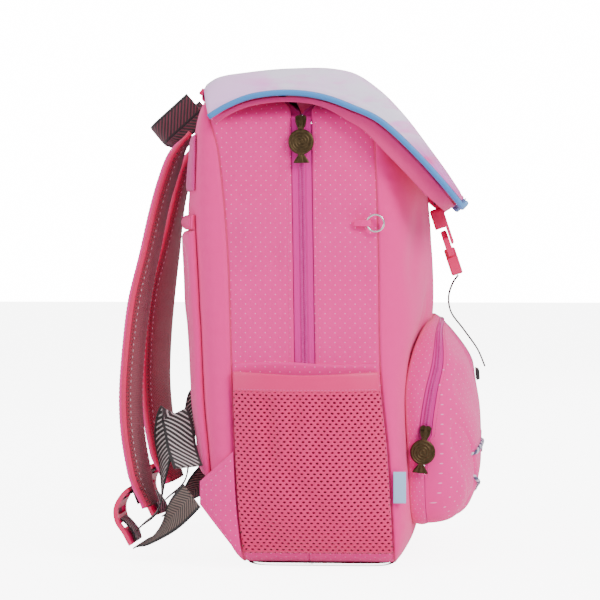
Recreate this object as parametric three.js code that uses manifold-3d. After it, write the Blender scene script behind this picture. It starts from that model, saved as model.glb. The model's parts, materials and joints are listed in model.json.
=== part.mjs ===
// School backpack: domed fabric body with a padded lid, mesh side pockets, a zipped front pocket and shoulder straps.
// Millimetres. +Z is up, the front of the bag faces -Y, and the wearer's left side is -X.
import * as THREE from 'three';
import { mergeVertices } from 'three/addons/utils/BufferGeometryUtils.js';
import Module from 'manifold-3d';

const wasm = await Module();
wasm.setup();

// ---------------------------------------------------------------- driving dimensions
const GAP = 0.3; // clearance between neighbouring pieces
const SEAM_GAP = 0.35; // from a seam's plane to the piece on either side of it
const WALL = 3; // fabric, foam and lining of a body wall
const SIDES = [{ name: 'left', sign: -1 }, { name: 'right', sign: 1 }];

const BASE_THICKNESS = 3;
const BODY_BOTTOM = 3.4; // underside of the walls, just above the base panel
const BODY_TOP = 395.6;
const BODY_HALF_WIDTH = 143;
const SHOULDER_HALF_WIDTH = 131;
const SHOULDER_HEIGHT = 366;
const GUSSET_BULGE = 4;

const ZIP_TAPE_HALF = 8.3;
const ZIP_FOOT = 158;
const ZIP_HEAD = 374; // where both sliders stand
const MOUTH_HALF = 21; // half width of the open slit over the top
const MOUTH_START = 0.366; // share of the arch below the place where the two tapes part

const SIDE_POCKET_TOP = 164;
const SIDE_POCKET_BAND = 16;
const SIDE_POCKET_STANDOFF = 10;

const POCKET_CENTRE = 112;
const POCKET_WALL = 2.5;
const POCKET_ZIP_FOOT = 108;

const LID_THICKNESS = 5;
const LID_HALF_WIDTH = 144;
const LID_CORNER = 28; // radius of the lid's front corners
const LID_CORNER_SHARE = 0.094; // the same radius as a share of the lid's length
const PIPING_RADIUS = 2.4;

const STRAP_WIDTH = 60;
const STRAP_THICKNESS = 12;
const WEBBING_WIDTH = 25;
const HAUL_WIDTH = 20;
const WEBBING_THICKNESS = 1.6;

// ---------------------------------------------------------------- colours of the materials
const fabric = (color) => new THREE.MeshStandardMaterial({ color, roughness: 0.75, metalness: 0 });
const plastic = (color) => new THREE.MeshStandardMaterial({ color, roughness: 0.4, metalness: 0 });
const metal = (color) => new THREE.MeshStandardMaterial({ color, roughness: 0.35, metalness: 0.9 });
const DOTTED_PINK = 0xf27fb0;
const SATIN_PINK = 0xf56ca6;
const HOT_PINK = 0xe8388c;

const BLACK_WEBBING = 0x2a2224;
const PIPING_BLUE = 0x7fc8e8;
const LAVENDER = 0xe3c4e6;
const LINING_GREY = 0x9a8f96;
const ANTIQUE_BRASS = 0x8a7a45;
const SILVER = 0xc8c8cc;

// ---------------------------------------------------------------- helpers
const bag = new THREE.Group();
const vec = (x, y, z) => new THREE.Vector3(x, y, z);
const lerp = THREE.MathUtils.lerp;
const smooth = (x, low, high) => THREE.MathUtils.smoothstep(x, low, high);

function addPart(name, geometry, look, parent = bag) {
  const mesh = new THREE.Mesh(geometry, look);
  mesh.name = name;
  parent.add(mesh);
  return mesh;
}

// Six times the signed volume of a closed mesh: negative when its faces point in.
function facing(geometry) {
  const position = geometry.getAttribute('position');
  const index = geometry.getIndex();
  const corner = [vec(), vec(), vec()];
  let total = 0;
  for (let i = 0; i < index.count; i += 3) {
    corner.forEach((point, k) => point.fromBufferAttribute(position, index.getX(i + k)));
    total += corner[0].dot(corner[1].clone().cross(corner[2]));
  }
  return total;
}

// Shares the corners of neighbouring faces, drops faces that shrink to a line and turns the rest outwards.
function closed(geometry) {
  geometry.deleteAttribute('normal');
  geometry.deleteAttribute('uv');
  const merged = mergeVertices(geometry, 1e-4);
  const all = merged.getIndex();
  const kept = [];
  for (let i = 0; i < all.count; i += 3) {
    const face = [all.getX(i), all.getX(i + 1), all.getX(i + 2)];
    if (new Set(face).size === 3) kept.push(face);
  }
  merged.setIndex(kept.flat());
  if (facing(merged) < 0) merged.setIndex(kept.map(([a, b, c]) => [b, a, c]).flat());
  return merged;
}

// A closed sheet: u and v cross it from 0 to 1, and w runs from its inner face (0) to its outer face (1).
function sheet(columns, rows, place) {
  const box = new THREE.BoxGeometry(1, 1, 1, columns, rows, 1);
  const position = box.getAttribute('position');
  for (let i = 0; i < position.count; i += 1) {
    const point = place(position.getX(i) + 0.5, position.getY(i) + 0.5, position.getZ(i) + 0.5);
    position.setXYZ(i, point.x, point.y, point.z);
  }
  return closed(box);
}

// A closed band that returns to its start: t goes round the loop and a goes round its section.
function loopBand(around, section, place) {
  const plane = new THREE.PlaneGeometry(1, 1, around, section);
  const position = plane.getAttribute('position');
  for (let i = 0; i < position.count; i += 1) {
    const point = place((position.getX(i) + 0.5) % 1, (position.getY(i) + 0.5) % 1);
    position.setXYZ(i, point.x, point.y, point.z);
  }
  return closed(plane);
}

// A round bar along a smooth curve through the given points.
function bar(points, radius, steps, sides = 8) {
  const section = new THREE.Shape();
  for (let i = 0; i < sides; i += 1) {
    const angle = (2 * Math.PI * i) / sides;
    section.lineTo(radius * Math.cos(angle), radius * Math.sin(angle));
  }
  const path = new THREE.CatmullRomCurve3(points);
  return closed(new THREE.ExtrudeGeometry(section, { steps, extrudePath: path }));
}

// A flat outline in x and y, pushed along z and centred on z = 0.
function plate(shape, thickness, bevel = 0, curveSegments = 10) {
  const geometry = new THREE.ExtrudeGeometry(shape, {
    depth: thickness - 2 * bevel,
    bevelEnabled: bevel > 0,
    bevelThickness: bevel,
    bevelSize: bevel,
    bevelOffset: -bevel,
    bevelSegments: 1,
    curveSegments,
  });
  geometry.translate(0, 0, bevel - thickness / 2);
  return closed(geometry);
}

function roundedRectangle(width, height, radius) {
  const x = width / 2;
  const y = height / 2;
  const shape = new THREE.Shape();
  shape.moveTo(-x + radius, -y);
  shape.absarc(x - radius, -y + radius, radius, -Math.PI / 2, 0);
  shape.absarc(x - radius, y - radius, radius, 0, Math.PI / 2);
  shape.absarc(-x + radius, y - radius, radius, Math.PI / 2, Math.PI);
  shape.absarc(-x + radius, -y + radius, radius, Math.PI, 1.5 * Math.PI);
  return shape;
}

function block(width, depth, height, x, y, z) {
  return closed(new THREE.BoxGeometry(width, depth, height).translate(x, y, z));
}

function toSolid(geometry) {
  const merged = closed(geometry.index ? geometry.clone() : geometry);
  return new wasm.Manifold(new wasm.Mesh({
    numProp: 3,
    vertProperties: new Float32Array(merged.getAttribute('position').array),
    triVerts: new Uint32Array(merged.getIndex().array),
  }));
}

function fromSolid(solid) {
  const mesh = solid.getMesh();
  const geometry = new THREE.BufferGeometry();
  geometry.setAttribute('position', new THREE.BufferAttribute(new Float32Array(mesh.vertProperties), 3));
  geometry.setIndex(new THREE.BufferAttribute(new Uint32Array(mesh.triVerts), 1));
  return geometry;
}

// One piece joined from some solids and cut by others.
function carve(joined, cuts = []) {
  const body = joined.map(toSolid).reduce((total, next) => total.add(next));
  return fromSolid(cuts.map(toSolid).reduce((total, next) => total.subtract(next), body));
}

// A smooth function through hand-set [height, value] stations.
function through(stations) {
  const slope = stations.map((point, i) => {
    const before = stations[Math.max(0, i - 1)];
    const after = stations[Math.min(stations.length - 1, i + 1)];
    return (after[1] - before[1]) / (after[0] - before[0]);
  });
  return (height) => {
    const clamped = THREE.MathUtils.clamp(height, stations[0][0], stations[stations.length - 1][0]);
    const next = Math.max(1, stations.findIndex((point) => point[0] >= clamped));
    const [x0, y0] = stations[next - 1];
    const [x1, y1] = stations[next];
    const span = x1 - x0;
    const t = (clamped - x0) / span;
    const rise = t * t * (3 - 2 * t);
    const lead = span * slope[next - 1] * t * (1 - t) * (1 - t);
    const trail = span * slope[next] * t * t * (t - 1);
    return lerp(y0, y1, rise) + lead + trail;
  };
}

// ---------------------------------------------------------------- the body's shape
// Left half of the body's outline seen from the front, from the base up to the middle of the crown.
const halfOutline = new THREE.Path();
halfOutline.moveTo(-116, BODY_BOTTOM);
halfOutline.quadraticCurveTo(-125.8, BODY_BOTTOM, -132, 8);
halfOutline.quadraticCurveTo(1 - BODY_HALF_WIDTH, 15.4, 1 - BODY_HALF_WIDTH, 36);
halfOutline.lineTo(-BODY_HALF_WIDTH, 140);
halfOutline.quadraticCurveTo(-BODY_HALF_WIDTH, 170, 1.5 - BODY_HALF_WIDTH, 200);
halfOutline.lineTo(-SHOULDER_HALF_WIDTH, SHOULDER_HEIGHT);
halfOutline.quadraticCurveTo(1.2 - SHOULDER_HALF_WIDTH, 385.5, -98, 390.5);
halfOutline.quadraticCurveTo(-60, BODY_TOP, 0, BODY_TOP);

// Seams where the back and front panels meet the side walls, and how far each panel domes out from its seam.
const rearSeam = through([[0, 55], [60, 61], [160, 65], [265, 69], [345, 77], [372, 84], [400, 88]]);
const frontSeam = through([[0, -70], [90, -65], [164, -58], [270, -56], [400, -51]]);
const rearDepth = through([
  [BODY_BOTTOM, 0], [9, 9], [20, 16], [48, 26], [70, 31], [104, 34], [137, 37], [196, 38],
  [221, 39.5], [289, 39], [348, 28], [368, 18], [388, 7], [BODY_TOP, 0],
]);
const frontDepth = through([
  [BODY_BOTTOM, 0], [9, 9], [22, 18], [40, 22], [105, 26], [139, 30], [172, 38], [203, 44],
  [231, 45], [305, 42], [331, 39], [362, 23], [386, 7], [BODY_TOP, 0],
]);
const REAR_ROUNDNESS = 3;
const FRONT_ROUNDNESS = 2.2;

const dome = (s, power) => (1 - Math.min(1, Math.abs(s)) ** power) ** (1 / power);
const mouthHalf = (z) => 0.15 + 8.5 * smooth(z, 128, 140) + (MOUTH_HALF - 8.65) * smooth(z, 376, 390);
const zipLine = (z) => 4 + (4 * (z - ZIP_FOOT)) / (ZIP_HEAD - ZIP_FOOT);

// Half width of the body at a height, found by halving on the outline.
function halfWidth(z) {
  let low = 0;
  let high = 1;
  for (let i = 0; i < 22; i += 1) {
    const middle = (low + high) / 2;
    if (halfOutline.getPoint(middle).y < z) low = middle;
    else high = middle;
  }
  return Math.max(0.2, -halfOutline.getPoint((low + high) / 2).x);
}

// A point of the whole arch, t from the left foot over the crown to the right foot, with its inward direction.
function archAt(t) {
  const mirrored = t > 0.5;
  const along = mirrored ? 2 - 2 * t : 2 * t;
  const point = halfOutline.getPointAt(along);
  const tangent = halfOutline.getTangentAt(along);
  const sign = mirrored ? -1 : 1;
  return { x: sign * point.x, z: point.y, inX: sign * tangent.y, inZ: -tangent.x };
}

function bulgeAt(y, z) {
  const across = (rearSeam(z) - y) / (rearSeam(z) - frontSeam(z));
  return GUSSET_BULGE * Math.sin(Math.PI * across) * smooth(z, 5, 45);
}

// A point on the side wall, lifted off its outer face.
const sidePoint = (sign, y, z, lift) => vec(sign * (halfWidth(z) + bulgeAt(y, z) + lift), y, z);

// Points of the domed back and front panels at s from -1 to 1 across, moved inwards by the inset.
function rearPoint(s, z, inset) {
  const x = s * (halfWidth(z) - inset);
  return vec(x, rearSeam(z) + SEAM_GAP + Math.max(0, rearDepth(z) - inset) * dome(s, REAR_ROUNDNESS), z);
}

function frontPoint(s, z, inset) {
  const x = s * (halfWidth(z) - inset);
  return vec(x, frontSeam(z) - SEAM_GAP - Math.max(0, frontDepth(z) - inset) * dome(s, FRONT_ROUNDNESS), z);
}

// ---------------------------------------------------------------- body shell
function gussetHalf(edgeA, edgeB) {
  return sheet(2, 72, (u, v, w) => {
    const arch = archAt(v);
    const y = lerp(edgeA(arch.z), edgeB(arch.z), u);
    const out = bulgeAt(y, arch.z) - (1 - w) * WALL;
    return vec(arch.x - arch.inX * out, y, arch.z - arch.inZ * out);
  });
}

function addGussets() {
  const rearEdge = (z) => rearSeam(z) - SEAM_GAP;
  const frontEdge = (z) => frontSeam(z) + SEAM_GAP;
  const zipRear = (z) => zipLine(z) + mouthHalf(z);
  const zipFront = (z) => zipLine(z) - mouthHalf(z);
  addPart('rear_gusset', gussetHalf(rearEdge, zipRear), fabric(DOTTED_PINK));
  addPart('front_gusset', gussetHalf(zipFront, frontEdge), fabric(DOTTED_PINK));
}

// A domed panel over the whole outline. Rows bunch towards the base and the crown, columns towards the sides.
function domedPanel(pointAt) {
  const bunch = (t) => 0.5 - 0.5 * Math.cos(Math.PI * t);
  return sheet(14, 18, (u, v, w) => {
    const inset = (1 - w) * WALL;
    const z = lerp(BODY_BOTTOM + inset, BODY_TOP - 0.05 - inset, bunch(v));
    return pointAt(2 * bunch(u) - 1, z, inset);
  });
}

function addPanels() {
  addPart('back_panel', domedPanel(rearPoint), fabric(SATIN_PINK));
  addPart('front_panel', domedPanel(frontPoint), fabric(SATIN_PINK));
  const base = roundedRectangle(250, 127, 18);
  const mesh = addPart('base_panel', plate(base, BASE_THICKNESS, 0, 4), fabric(HOT_PINK));
  mesh.position.set(0, -7.5, BASE_THICKNESS / 2);
}

// A pad laid over the back panel between two heights, near and far being its faces' distances from the panel.
function backLayer(name, lowZ, highZ, reach, near, far, look) {
  const geometry = sheet(10, 7, (u, v, w) => {
    const s = reach * Math.sin(Math.PI * (u - 0.5));
    return rearPoint(s, lerp(lowZ, highZ, v), -lerp(near, far, w));
  });
  addPart(name, geometry, look);
}

function addBackPads() {
  backLayer('upper_back_pad', 313, 360, 0.9, 1.2, 3.2, fabric(HOT_PINK));
  backLayer('lower_back_pad', 74, 280, 0.9, 1.2, 6, fabric(SATIN_PINK));
  backLayer('back_band', 280.5, 293, 0.9, 1.2, 6.5, fabric(HOT_PINK));
  backLayer('back_board', 22, 350, 0.8, -WALL - 4, -WALL - 2, plastic(LINING_GREY));
}

function addInsides() {
  const board = plate(roundedRectangle(224, 104, 10), 2, 0, 3);
  addPart('base_board', board, plastic(LINING_GREY)).position.set(0, -7, BODY_BOTTOM + 1);
  const divider = sheet(6, 6, (u, v, w) => vec(lerp(-112, 112, u), 40 + 3 * w, lerp(9, 300, v)));
  addPart('inner_divider', divider, fabric(LINING_GREY));
}

// ---------------------------------------------------------------- main zip
// Tape with a raised chain along its middle: places across the tape and the height of its outer face there.
const CHAIN_PROFILE = [
  [-1, -0.6], [-0.43, -0.6], [-0.38, 0.6], [0.38, 0.6], [0.43, -0.6], [1, -0.6],
];

function zipStrip(rows, pointAt, tapeHalf) {
  return sheet(CHAIN_PROFILE.length - 1, rows, (u, v, w) => {
    const [across, height] = CHAIN_PROFILE[Math.round(u * (CHAIN_PROFILE.length - 1))];
    return pointAt(across * tapeHalf, v, w === 1 ? height : -2.2);
  });
}

// One half of the parted zip: a tape under the edge of its gusset, running over the crown.
function addMouthLip(name, direction) {
  const geometry = sheet(1, 32, (u, v, w) => {
    const arch = archAt(lerp(MOUTH_START, 1 - MOUTH_START, v));
    const y = zipLine(arch.z) + direction * (mouthHalf(arch.z) + lerp(-7.5, 2, u));
    const out = bulgeAt(y, arch.z) - WALL - 1.6 - 1.3 * (1 - w);
    return vec(arch.x - arch.inX * out, y, arch.z - arch.inZ * out);
  });
  addPart(name, geometry, fabric(HOT_PINK));
}

function addMainZips() {
  SIDES.forEach(({ name, sign }) => {
    const place = (across, v, lift) => {
      const z = lerp(ZIP_FOOT, ZIP_HEAD, v);
      return sidePoint(sign, zipLine(z) + across, z, lift);
    };
    addPart(`main_zip_${name}`, zipStrip(7, place, ZIP_TAPE_HALF), fabric(HOT_PINK));
  });
  addMouthLip('mouth_lip_rear', 1);
  addMouthLip('mouth_lip_front', -1);
}


// A zip slider lying on a face that looks along local +z, its zip along local y, with a bridge for the pull.
const BRIDGE_HEIGHT = 5.4;
function sliderGeometry() {
  const shape = new THREE.Shape();
  shape.moveTo(-3.2, -5.2);
  shape.lineTo(3.2, -5.2);
  shape.quadraticCurveTo(4.6, -1, 4.8, 3);
  shape.quadraticCurveTo(3.4, 5.4, 0, 4.2);
  shape.quadraticCurveTo(-3.4, 5.4, -4.8, 3);
  shape.quadraticCurveTo(-4.6, -1, -3.2, -5.2);
  const body = plate(shape, 1.8, 0.3, 3).translate(0, 0, 0.9);
  const post = (y) => block(2, 1.4, BRIDGE_HEIGHT, 0, y, BRIDGE_HEIGHT / 2);
  const beam = block(2, 8.4, 1.4, 0, 0, BRIDGE_HEIGHT);
  return carve([body, post(-3.5), post(3.5), beam]);
}

// A pull shaped as a wrapped sweet: a disc between two fans, the upper one pierced for the slider's bridge.
const PULL_LENGTH = 35;
const PULL_DISC_RADIUS = 10.5;
function pullGeometry() {
  const neck = 2.4;
  const neckDrop = Math.sqrt(PULL_DISC_RADIUS ** 2 - neck ** 2);
  const middle = -PULL_LENGTH / 2 + 1;
  const turn = Math.asin(neckDrop / PULL_DISC_RADIUS);
  const shape = new THREE.Shape();
  shape.moveTo(-4.4, 1);
  shape.lineTo(4.4, 1);
  shape.absarc(0, middle, PULL_DISC_RADIUS, turn, -turn, true);
  shape.lineTo(6.6, 1 - PULL_LENGTH + 1.4);
  shape.quadraticCurveTo(0, 1 - PULL_LENGTH - 1.4, -6.6, 1 - PULL_LENGTH + 1.4);
  shape.absarc(0, middle, PULL_DISC_RADIUS, Math.PI + turn, Math.PI - turn, true);
  const hole = new THREE.Path();
  hole.moveTo(-2, -1);
  hole.lineTo(-1.7, -5.6);
  hole.lineTo(1.7, -5.6);
  hole.lineTo(2, -1);
  shape.holes.push(hole);
  return plate(shape, 1.6, 0, 8);
}

// Puts a slider and its pull on a face: origin on the face, y up along the zip, z out of the face.
function addSlider(prefix, origin, up, out) {
  const frame = new THREE.Group();
  const yAxis = up.clone().normalize();
  const xAxis = yAxis.clone().cross(out).normalize();
  const zAxis = xAxis.clone().cross(yAxis);
  frame.quaternion.setFromRotationMatrix(new THREE.Matrix4().makeBasis(xAxis, yAxis, zAxis));
  frame.position.copy(origin);
  bag.add(frame);
  addPart(`${prefix}_slider`, sliderGeometry(), metal(ANTIQUE_BRASS), frame);
  addPart(`${prefix}_pull`, pullGeometry(), metal(ANTIQUE_BRASS), frame).position.set(0, -1, 3.2);
}

function addMainSliders() {
  SIDES.forEach(({ name, sign }) => {
    const top = sidePoint(sign, zipLine(SHOULDER_HEIGHT), SHOULDER_HEIGHT, 0.6 + 0.5);
    const foot = sidePoint(sign, zipLine(200), 200, 0.6 + 0.5);
    const up = top.clone().sub(foot).normalize();
    const origin = top.clone().addScaledVector(up, ZIP_HEAD - 4 - SHOULDER_HEIGHT);
    addSlider(`main_${name}`, origin, up, vec(sign, 0, 0));
  });
}

// ---------------------------------------------------------------- side pockets, wings and small trim
function addSidePockets() {
  const lift = (z, y) => {
    const across = (rearSeam(z) - y) / (rearSeam(z) - frontSeam(z));
    return 1.2 + SIDE_POCKET_STANDOFF * (1 - Math.abs(2 * across - 1) ** 3) * smooth(z, 10, 60);
  };
  const wall = (sign, lowZ, highZ, thickness) => (u, v, w) => {
    const z = lerp(lowZ, highZ, v);
    const y = lerp(frontSeam(z) + 1.5, rearSeam(z) - 1.5, u);
    return sidePoint(sign, y, z, lift(z, y) + thickness * w);
  };
  const bandFoot = SIDE_POCKET_TOP - SIDE_POCKET_BAND;
  SIDES.forEach(({ name, sign }) => {
    const net = sheet(8, 10, wall(sign, 14, bandFoot - GAP, 1.5));
    addPart(`side_pocket_${name}`, net, fabric(HOT_PINK));
    const band = sheet(8, 1, wall(sign, bandFoot, SIDE_POCKET_TOP, 2.4));
    addPart(`side_pocket_band_${name}`, band, fabric(HOT_PINK));
  });
}

// Fabric wing sewn into the rear seam, reaching back to hold the strap webbing.
const WING_TIP = { x: 133, y: 92, low: 53, high: 72 };
function addWings() {
  SIDES.forEach(({ name, sign }) => {
    const geometry = sheet(4, 4, (u, v, w) => {
      const seamZ = lerp(10, 98, v);
      const tipZ = lerp(WING_TIP.low, WING_TIP.high, v);
      const z = lerp(seamZ, tipZ, u);
      const x = lerp(halfWidth(Math.max(z, 36)) + 0.8, WING_TIP.x, u * u) + 3 * w;
      return vec(sign * x, lerp(rearSeam(seamZ) + 0.6, WING_TIP.y, u), z);
    });
    addPart(`wing_${name}`, geometry, fabric(DOTTED_PINK));
  });
}

function addRingAndLabel() {
  const ringY = -53.5;
  const ringZ = 286;
  const surface = sidePoint(-1, -34, ringZ, 0).x;
  const ring = closed(new THREE.TorusGeometry(7, 0.8, 6, 20).rotateY(Math.PI / 2));
  addPart('side_ring', ring, metal(SILVER)).position.set(surface - 2.7, ringY, ringZ);
  const tab = new THREE.Shape();
  tab.moveTo(surface - 0.6, -36);
  tab.lineTo(surface - 0.6, -48.4);
  tab.quadraticCurveTo(surface - 2.7, -50.8, surface - 4.8, -48.4);
  tab.lineTo(surface - 4.8, -42);
  tab.lineTo(surface - 1.8, -36);
  const eye = new THREE.Path();
  eye.absellipse(surface - 2.7, -46.75, 1.5, 1.5, 0, 2 * Math.PI);
  tab.holes.push(eye);
  addPart('ring_tab', plate(tab, 5, 0, 3), fabric(SATIN_PINK)).position.set(0, 0, ringZ);
  const label = sheet(1, 3, (u, v, w) => {
    const z = lerp(56, 82, v);
    return frontPoint(-1, z, -1.6 - 1.2 * w).add(vec(0, -2.5 - 9 * u, 0));
  });
  addPart('label_tab', label, fabric(PIPING_BLUE));
}

// ---------------------------------------------------------------- front pocket
// Outline of the pocket where it is sewn to the front panel, seen from the front.
const pocketOutline = new THREE.Path();
pocketOutline.moveTo(0, 33);
pocketOutline.lineTo(-94, 33);
pocketOutline.quadraticCurveTo(-119, 33, -121, 60);
pocketOutline.lineTo(-123, 140);
pocketOutline.quadraticCurveTo(-123, 197, -68, 202);
pocketOutline.quadraticCurveTo(0, 207, 68, 202);
pocketOutline.quadraticCurveTo(123, 197, 123, 140);
pocketOutline.lineTo(121, 60);
pocketOutline.quadraticCurveTo(119, 33, 94, 33);
pocketOutline.lineTo(0, 33);

const POCKET_ROUNDNESS = 3.2;
const POCKET_SCALE = 95; // typical distance from the pocket's middle to its outline
const pocketFace = through([[20, -143], [60, -144], [90, -144], [126, -142], [150, -139], [170, -136], [205, -116]]);

// A point of the pocket: t round the outline, h from the sewn edge (0) to the middle of its face (1).
function pocketPoint(t, h, inset) {
  const edge = pocketOutline.getPointAt(t);
  const ring = (1 - h ** POCKET_ROUNDNESS) ** (1 / POCKET_ROUNDNESS) * (1 - inset / POCKET_SCALE);
  const x = edge.x * ring;
  const z = POCKET_CENTRE + (edge.y - POCKET_CENTRE) * ring;
  const sewnX = edge.x * (1 - inset / POCKET_SCALE);
  const sewnZ = POCKET_CENTRE + (edge.y - POCKET_CENTRE) * (1 - inset / POCKET_SCALE);
  const sewnY = frontPoint(sewnX / halfWidth(sewnZ), sewnZ, 0).y - 2 * GAP;
  return vec(x, lerp(sewnY, pocketFace(z) + inset, h), z);
}

// How far up the pocket's wall the zip runs, and half the slot that it fills, both as shares of the depth.
const pocketZipLevel = (t) => lerp(0.21, 0.46, smooth(pocketOutline.getPointAt(t).y, 85, 200));
const POCKET_SLOT = 0.085;
const pocketSlotHalf = (z) => 0.003 + (POCKET_SLOT - 0.003) * smooth(z, POCKET_ZIP_FOOT - 30, POCKET_ZIP_FOOT - 18);

function addPocketShell() {
  const gusset = loopBand(50, 6, (t, a) => {
    const z = pocketOutline.getPointAt(t).y;
    const top = pocketZipLevel(t) - pocketSlotHalf(z);
    const ring = [[0, 0], [0.5, 0], [1, 0], [1, 1], [0.5, 1], [0, 1]];
    const [level, inner] = ring[Math.round(a * 6) % 6];
    return pocketPoint(t, level * top, inner * POCKET_WALL);
  });
  addPart('pocket_gusset', gusset, fabric(DOTTED_PINK));
  const front = sheet(10, 10, (u, v, w) => {
    const [t, share] = squareToDisc(u, v);
    const z = pocketOutline.getPointAt(t).y;
    const edge = pocketZipLevel(t) + pocketSlotHalf(z);
    const ring = share * (1 - edge ** POCKET_ROUNDNESS) ** (1 / POCKET_ROUNDNESS);
    const h = (1 - ring ** POCKET_ROUNDNESS) ** (1 / POCKET_ROUNDNESS);
    return pocketPoint(t, h, (1 - w) * POCKET_WALL);
  });
  addPart('pocket_front', front, fabric(DOTTED_PINK));
}

// Turns a place in a square into a turn round the pocket and a share of the way out from its middle.
function squareToDisc(u, v) {
  const x = 2 * u - 1;
  const y = 2 * v - 1;
  const share = Math.max(Math.abs(x), Math.abs(y));
  const turn = (Math.atan2(-x, -y) / (2 * Math.PI) + 1) % 1;
  return [turn, Math.sin((share * Math.PI) / 2) ** 0.9];
}

function addPocketZip() {
  const [start, end] = [0.246, 0.754];
  const geometry = zipStrip(20, (across, v, lift) => {
    const t = lerp(start, end, v);
    return pocketPoint(t, pocketZipLevel(t) + across, -lift);
  }, POCKET_SLOT - 0.008);
  addPart('pocket_zip', geometry, fabric(HOT_PINK));
}

function addPocketSlider() {
  const [t, step] = [0.252, 0.03];
  const origin = pocketPoint(t, pocketZipLevel(t), -1.1);
  const up = pocketPoint(t + step, pocketZipLevel(t + step), -1.1).sub(origin);
  addSlider('pocket', origin, up, vec(-1, 0, 0));
}

// ---------------------------------------------------------------- lid
const lidCrown = new THREE.SplineCurve([
  new THREE.Vector2(92, 402.5), new THREE.Vector2(80, 410), new THREE.Vector2(56, 414), new THREE.Vector2(20, 417.5),
  new THREE.Vector2(-16, 417.5), new THREE.Vector2(-46, 408), new THREE.Vector2(-75, 380),
  new THREE.Vector2(-100, 347), new THREE.Vector2(-128, 307),
]);
const lidEdge = new THREE.SplineCurve([
  new THREE.Vector2(84, 374), new THREE.Vector2(69, 383), new THREE.Vector2(48, 391), new THREE.Vector2(20, 394),
  new THREE.Vector2(-8, 391), new THREE.Vector2(-34, 382), new THREE.Vector2(-60, 369),
  new THREE.Vector2(-92, 339), new THREE.Vector2(-124, 303),
]);
const LID_SQUARENESS = 8;
const cornerTurn = (v) => Math.min(1, Math.max(0, 1 - (1 - v) / LID_CORNER_SHARE)); // sine of the rim's turn
const lidHalfWidth = (v) => LID_HALF_WIDTH - LID_CORNER * (1 - Math.sqrt(1 - cornerTurn(v) ** 2));

function lidSkin(s, v) {
  const crown = lidCrown.getPointAt(v);
  const edge = lidEdge.getPointAt(v);
  const share = Math.abs(s) ** LID_SQUARENESS;
  return vec(s * lidHalfWidth(v), lerp(crown.x, edge.x, share), lerp(crown.y, edge.y, share));
}

// Outward directions at a place on the lid: out of its face, along it towards the side, and along it to the front.
function lidFrame(s, v) {
  const step = 0.01;
  const across = lidSkin(s + step, v).sub(lidSkin(s - step, v)).normalize();
  const ahead = lidSkin(s, Math.min(1, v + step)).sub(lidSkin(s, Math.max(0, v - step))).normalize();
  return { out: ahead.clone().cross(across).normalize(), across, ahead };
}

function lidPoint(s, v, inset) {
  return lidSkin(s, v).addScaledVector(lidFrame(s, v).out, -inset);
}

// The lid's rim from its rear left corner, round the front, to its rear right corner.
function lidRim(k) {
  const side = 0.38;
  const ahead = (share) => 1 - (1 - share) ** 2;
  if (k < side) return [-1, ahead(k / side)];
  if (k > 1 - side) return [1, ahead((1 - k) / side)];
  return [(2 * (k - side)) / (1 - 2 * side) - 1, 1];
}

// A point beside the rim: away from the lid's edge, and down from it square to the lid's slope.
// The turn is 0 along the lid's sides and rises to 1 round the corner to its front edge.
function rimPoint(k, away, downAt) {
  const [s, v] = lidRim(k);
  const turn = Math.abs(s) < 1 ? 1 : cornerTurn(v);
  const { ahead } = lidFrame(0, v);
  const outward = ahead.clone().multiplyScalar(turn);
  outward.addScaledVector(vec(1, 0, 0), Math.sign(s) * Math.sqrt(1 - turn * turn));
  const down = vec(0, -ahead.z, ahead.y);
  return lidSkin(s, v).addScaledVector(outward, away).addScaledVector(down, downAt(turn, s, v));
}

function addLid() {
  const panel = sheet(12, 18, (u, t, w) => {
    const s = Math.sin(Math.PI * (u - 0.5));
    const v = 1 - (1 - t) ** 1.6;
    const taper = lerp(2.4, LID_THICKNESS, smooth(v, 0, 0.12));
    return lidPoint(s, v, taper * (1 - w));
  });
  addPart('lid_panel', panel, fabric(LAVENDER));
  const rimPoints = Array.from({ length: 61 }, (unused, i) => rimPoint(i / 60, PIPING_RADIUS + 1.2, () => 1.5));
  addPart('lid_piping', bar(rimPoints, PIPING_RADIUS, 60, 5), fabric(PIPING_BLUE));
  const ridge = sheet(6, 2, (u, v, w) => {
    const k = lerp(-92, 92, u);
    return vec(k, lerp(93.2, 96.4, v) + 0.4 * w, lerp(399, 395, v) + 1.2 * w);
  });
  addPart('lid_seam_tape', ridge, fabric(SATIN_PINK));
}

// Hem hanging below the piping: shallow at the back of the lid and deep at its front.
function addLidHem() {
  const hem = sheet(44, 1, (u, v, w) => {
    return rimPoint(u, -0.6 - 2 * w, (turn, s, along) => {
      const deep = lerp(4, 14, smooth(along, 0.35, 0.75)) - 4 * (1 - s * s) - LID_THICKNESS * turn;
      return lerp(4.8, LID_THICKNESS + 1.2, turn) + deep * v;
    });
  });
  addPart('lid_hem', hem, fabric(HOT_PINK));
}

// ---------------------------------------------------------------- webbing
// Flat webbing along a smooth curve in the plane x = 0, its width along x.
function flatWebbing(points, width, steps) {
  const path = new THREE.SplineCurve(points.map(([y, z]) => new THREE.Vector2(y, z)));
  return sheet(1, steps, (u, v, w) => {
    const point = path.getPointAt(v);
    const tangent = path.getTangentAt(v);
    const lift = (w - 0.5) * WEBBING_THICKNESS;
    return vec((u - 0.5) * width, point.x + tangent.y * lift, point.y - tangent.x * lift);
  });
}

const BUCKLE = { y: -113.6, z: 270, tilt: THREE.MathUtils.degToRad(-18.5), width: 33, thickness: 12, half: 30.5 };

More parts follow.
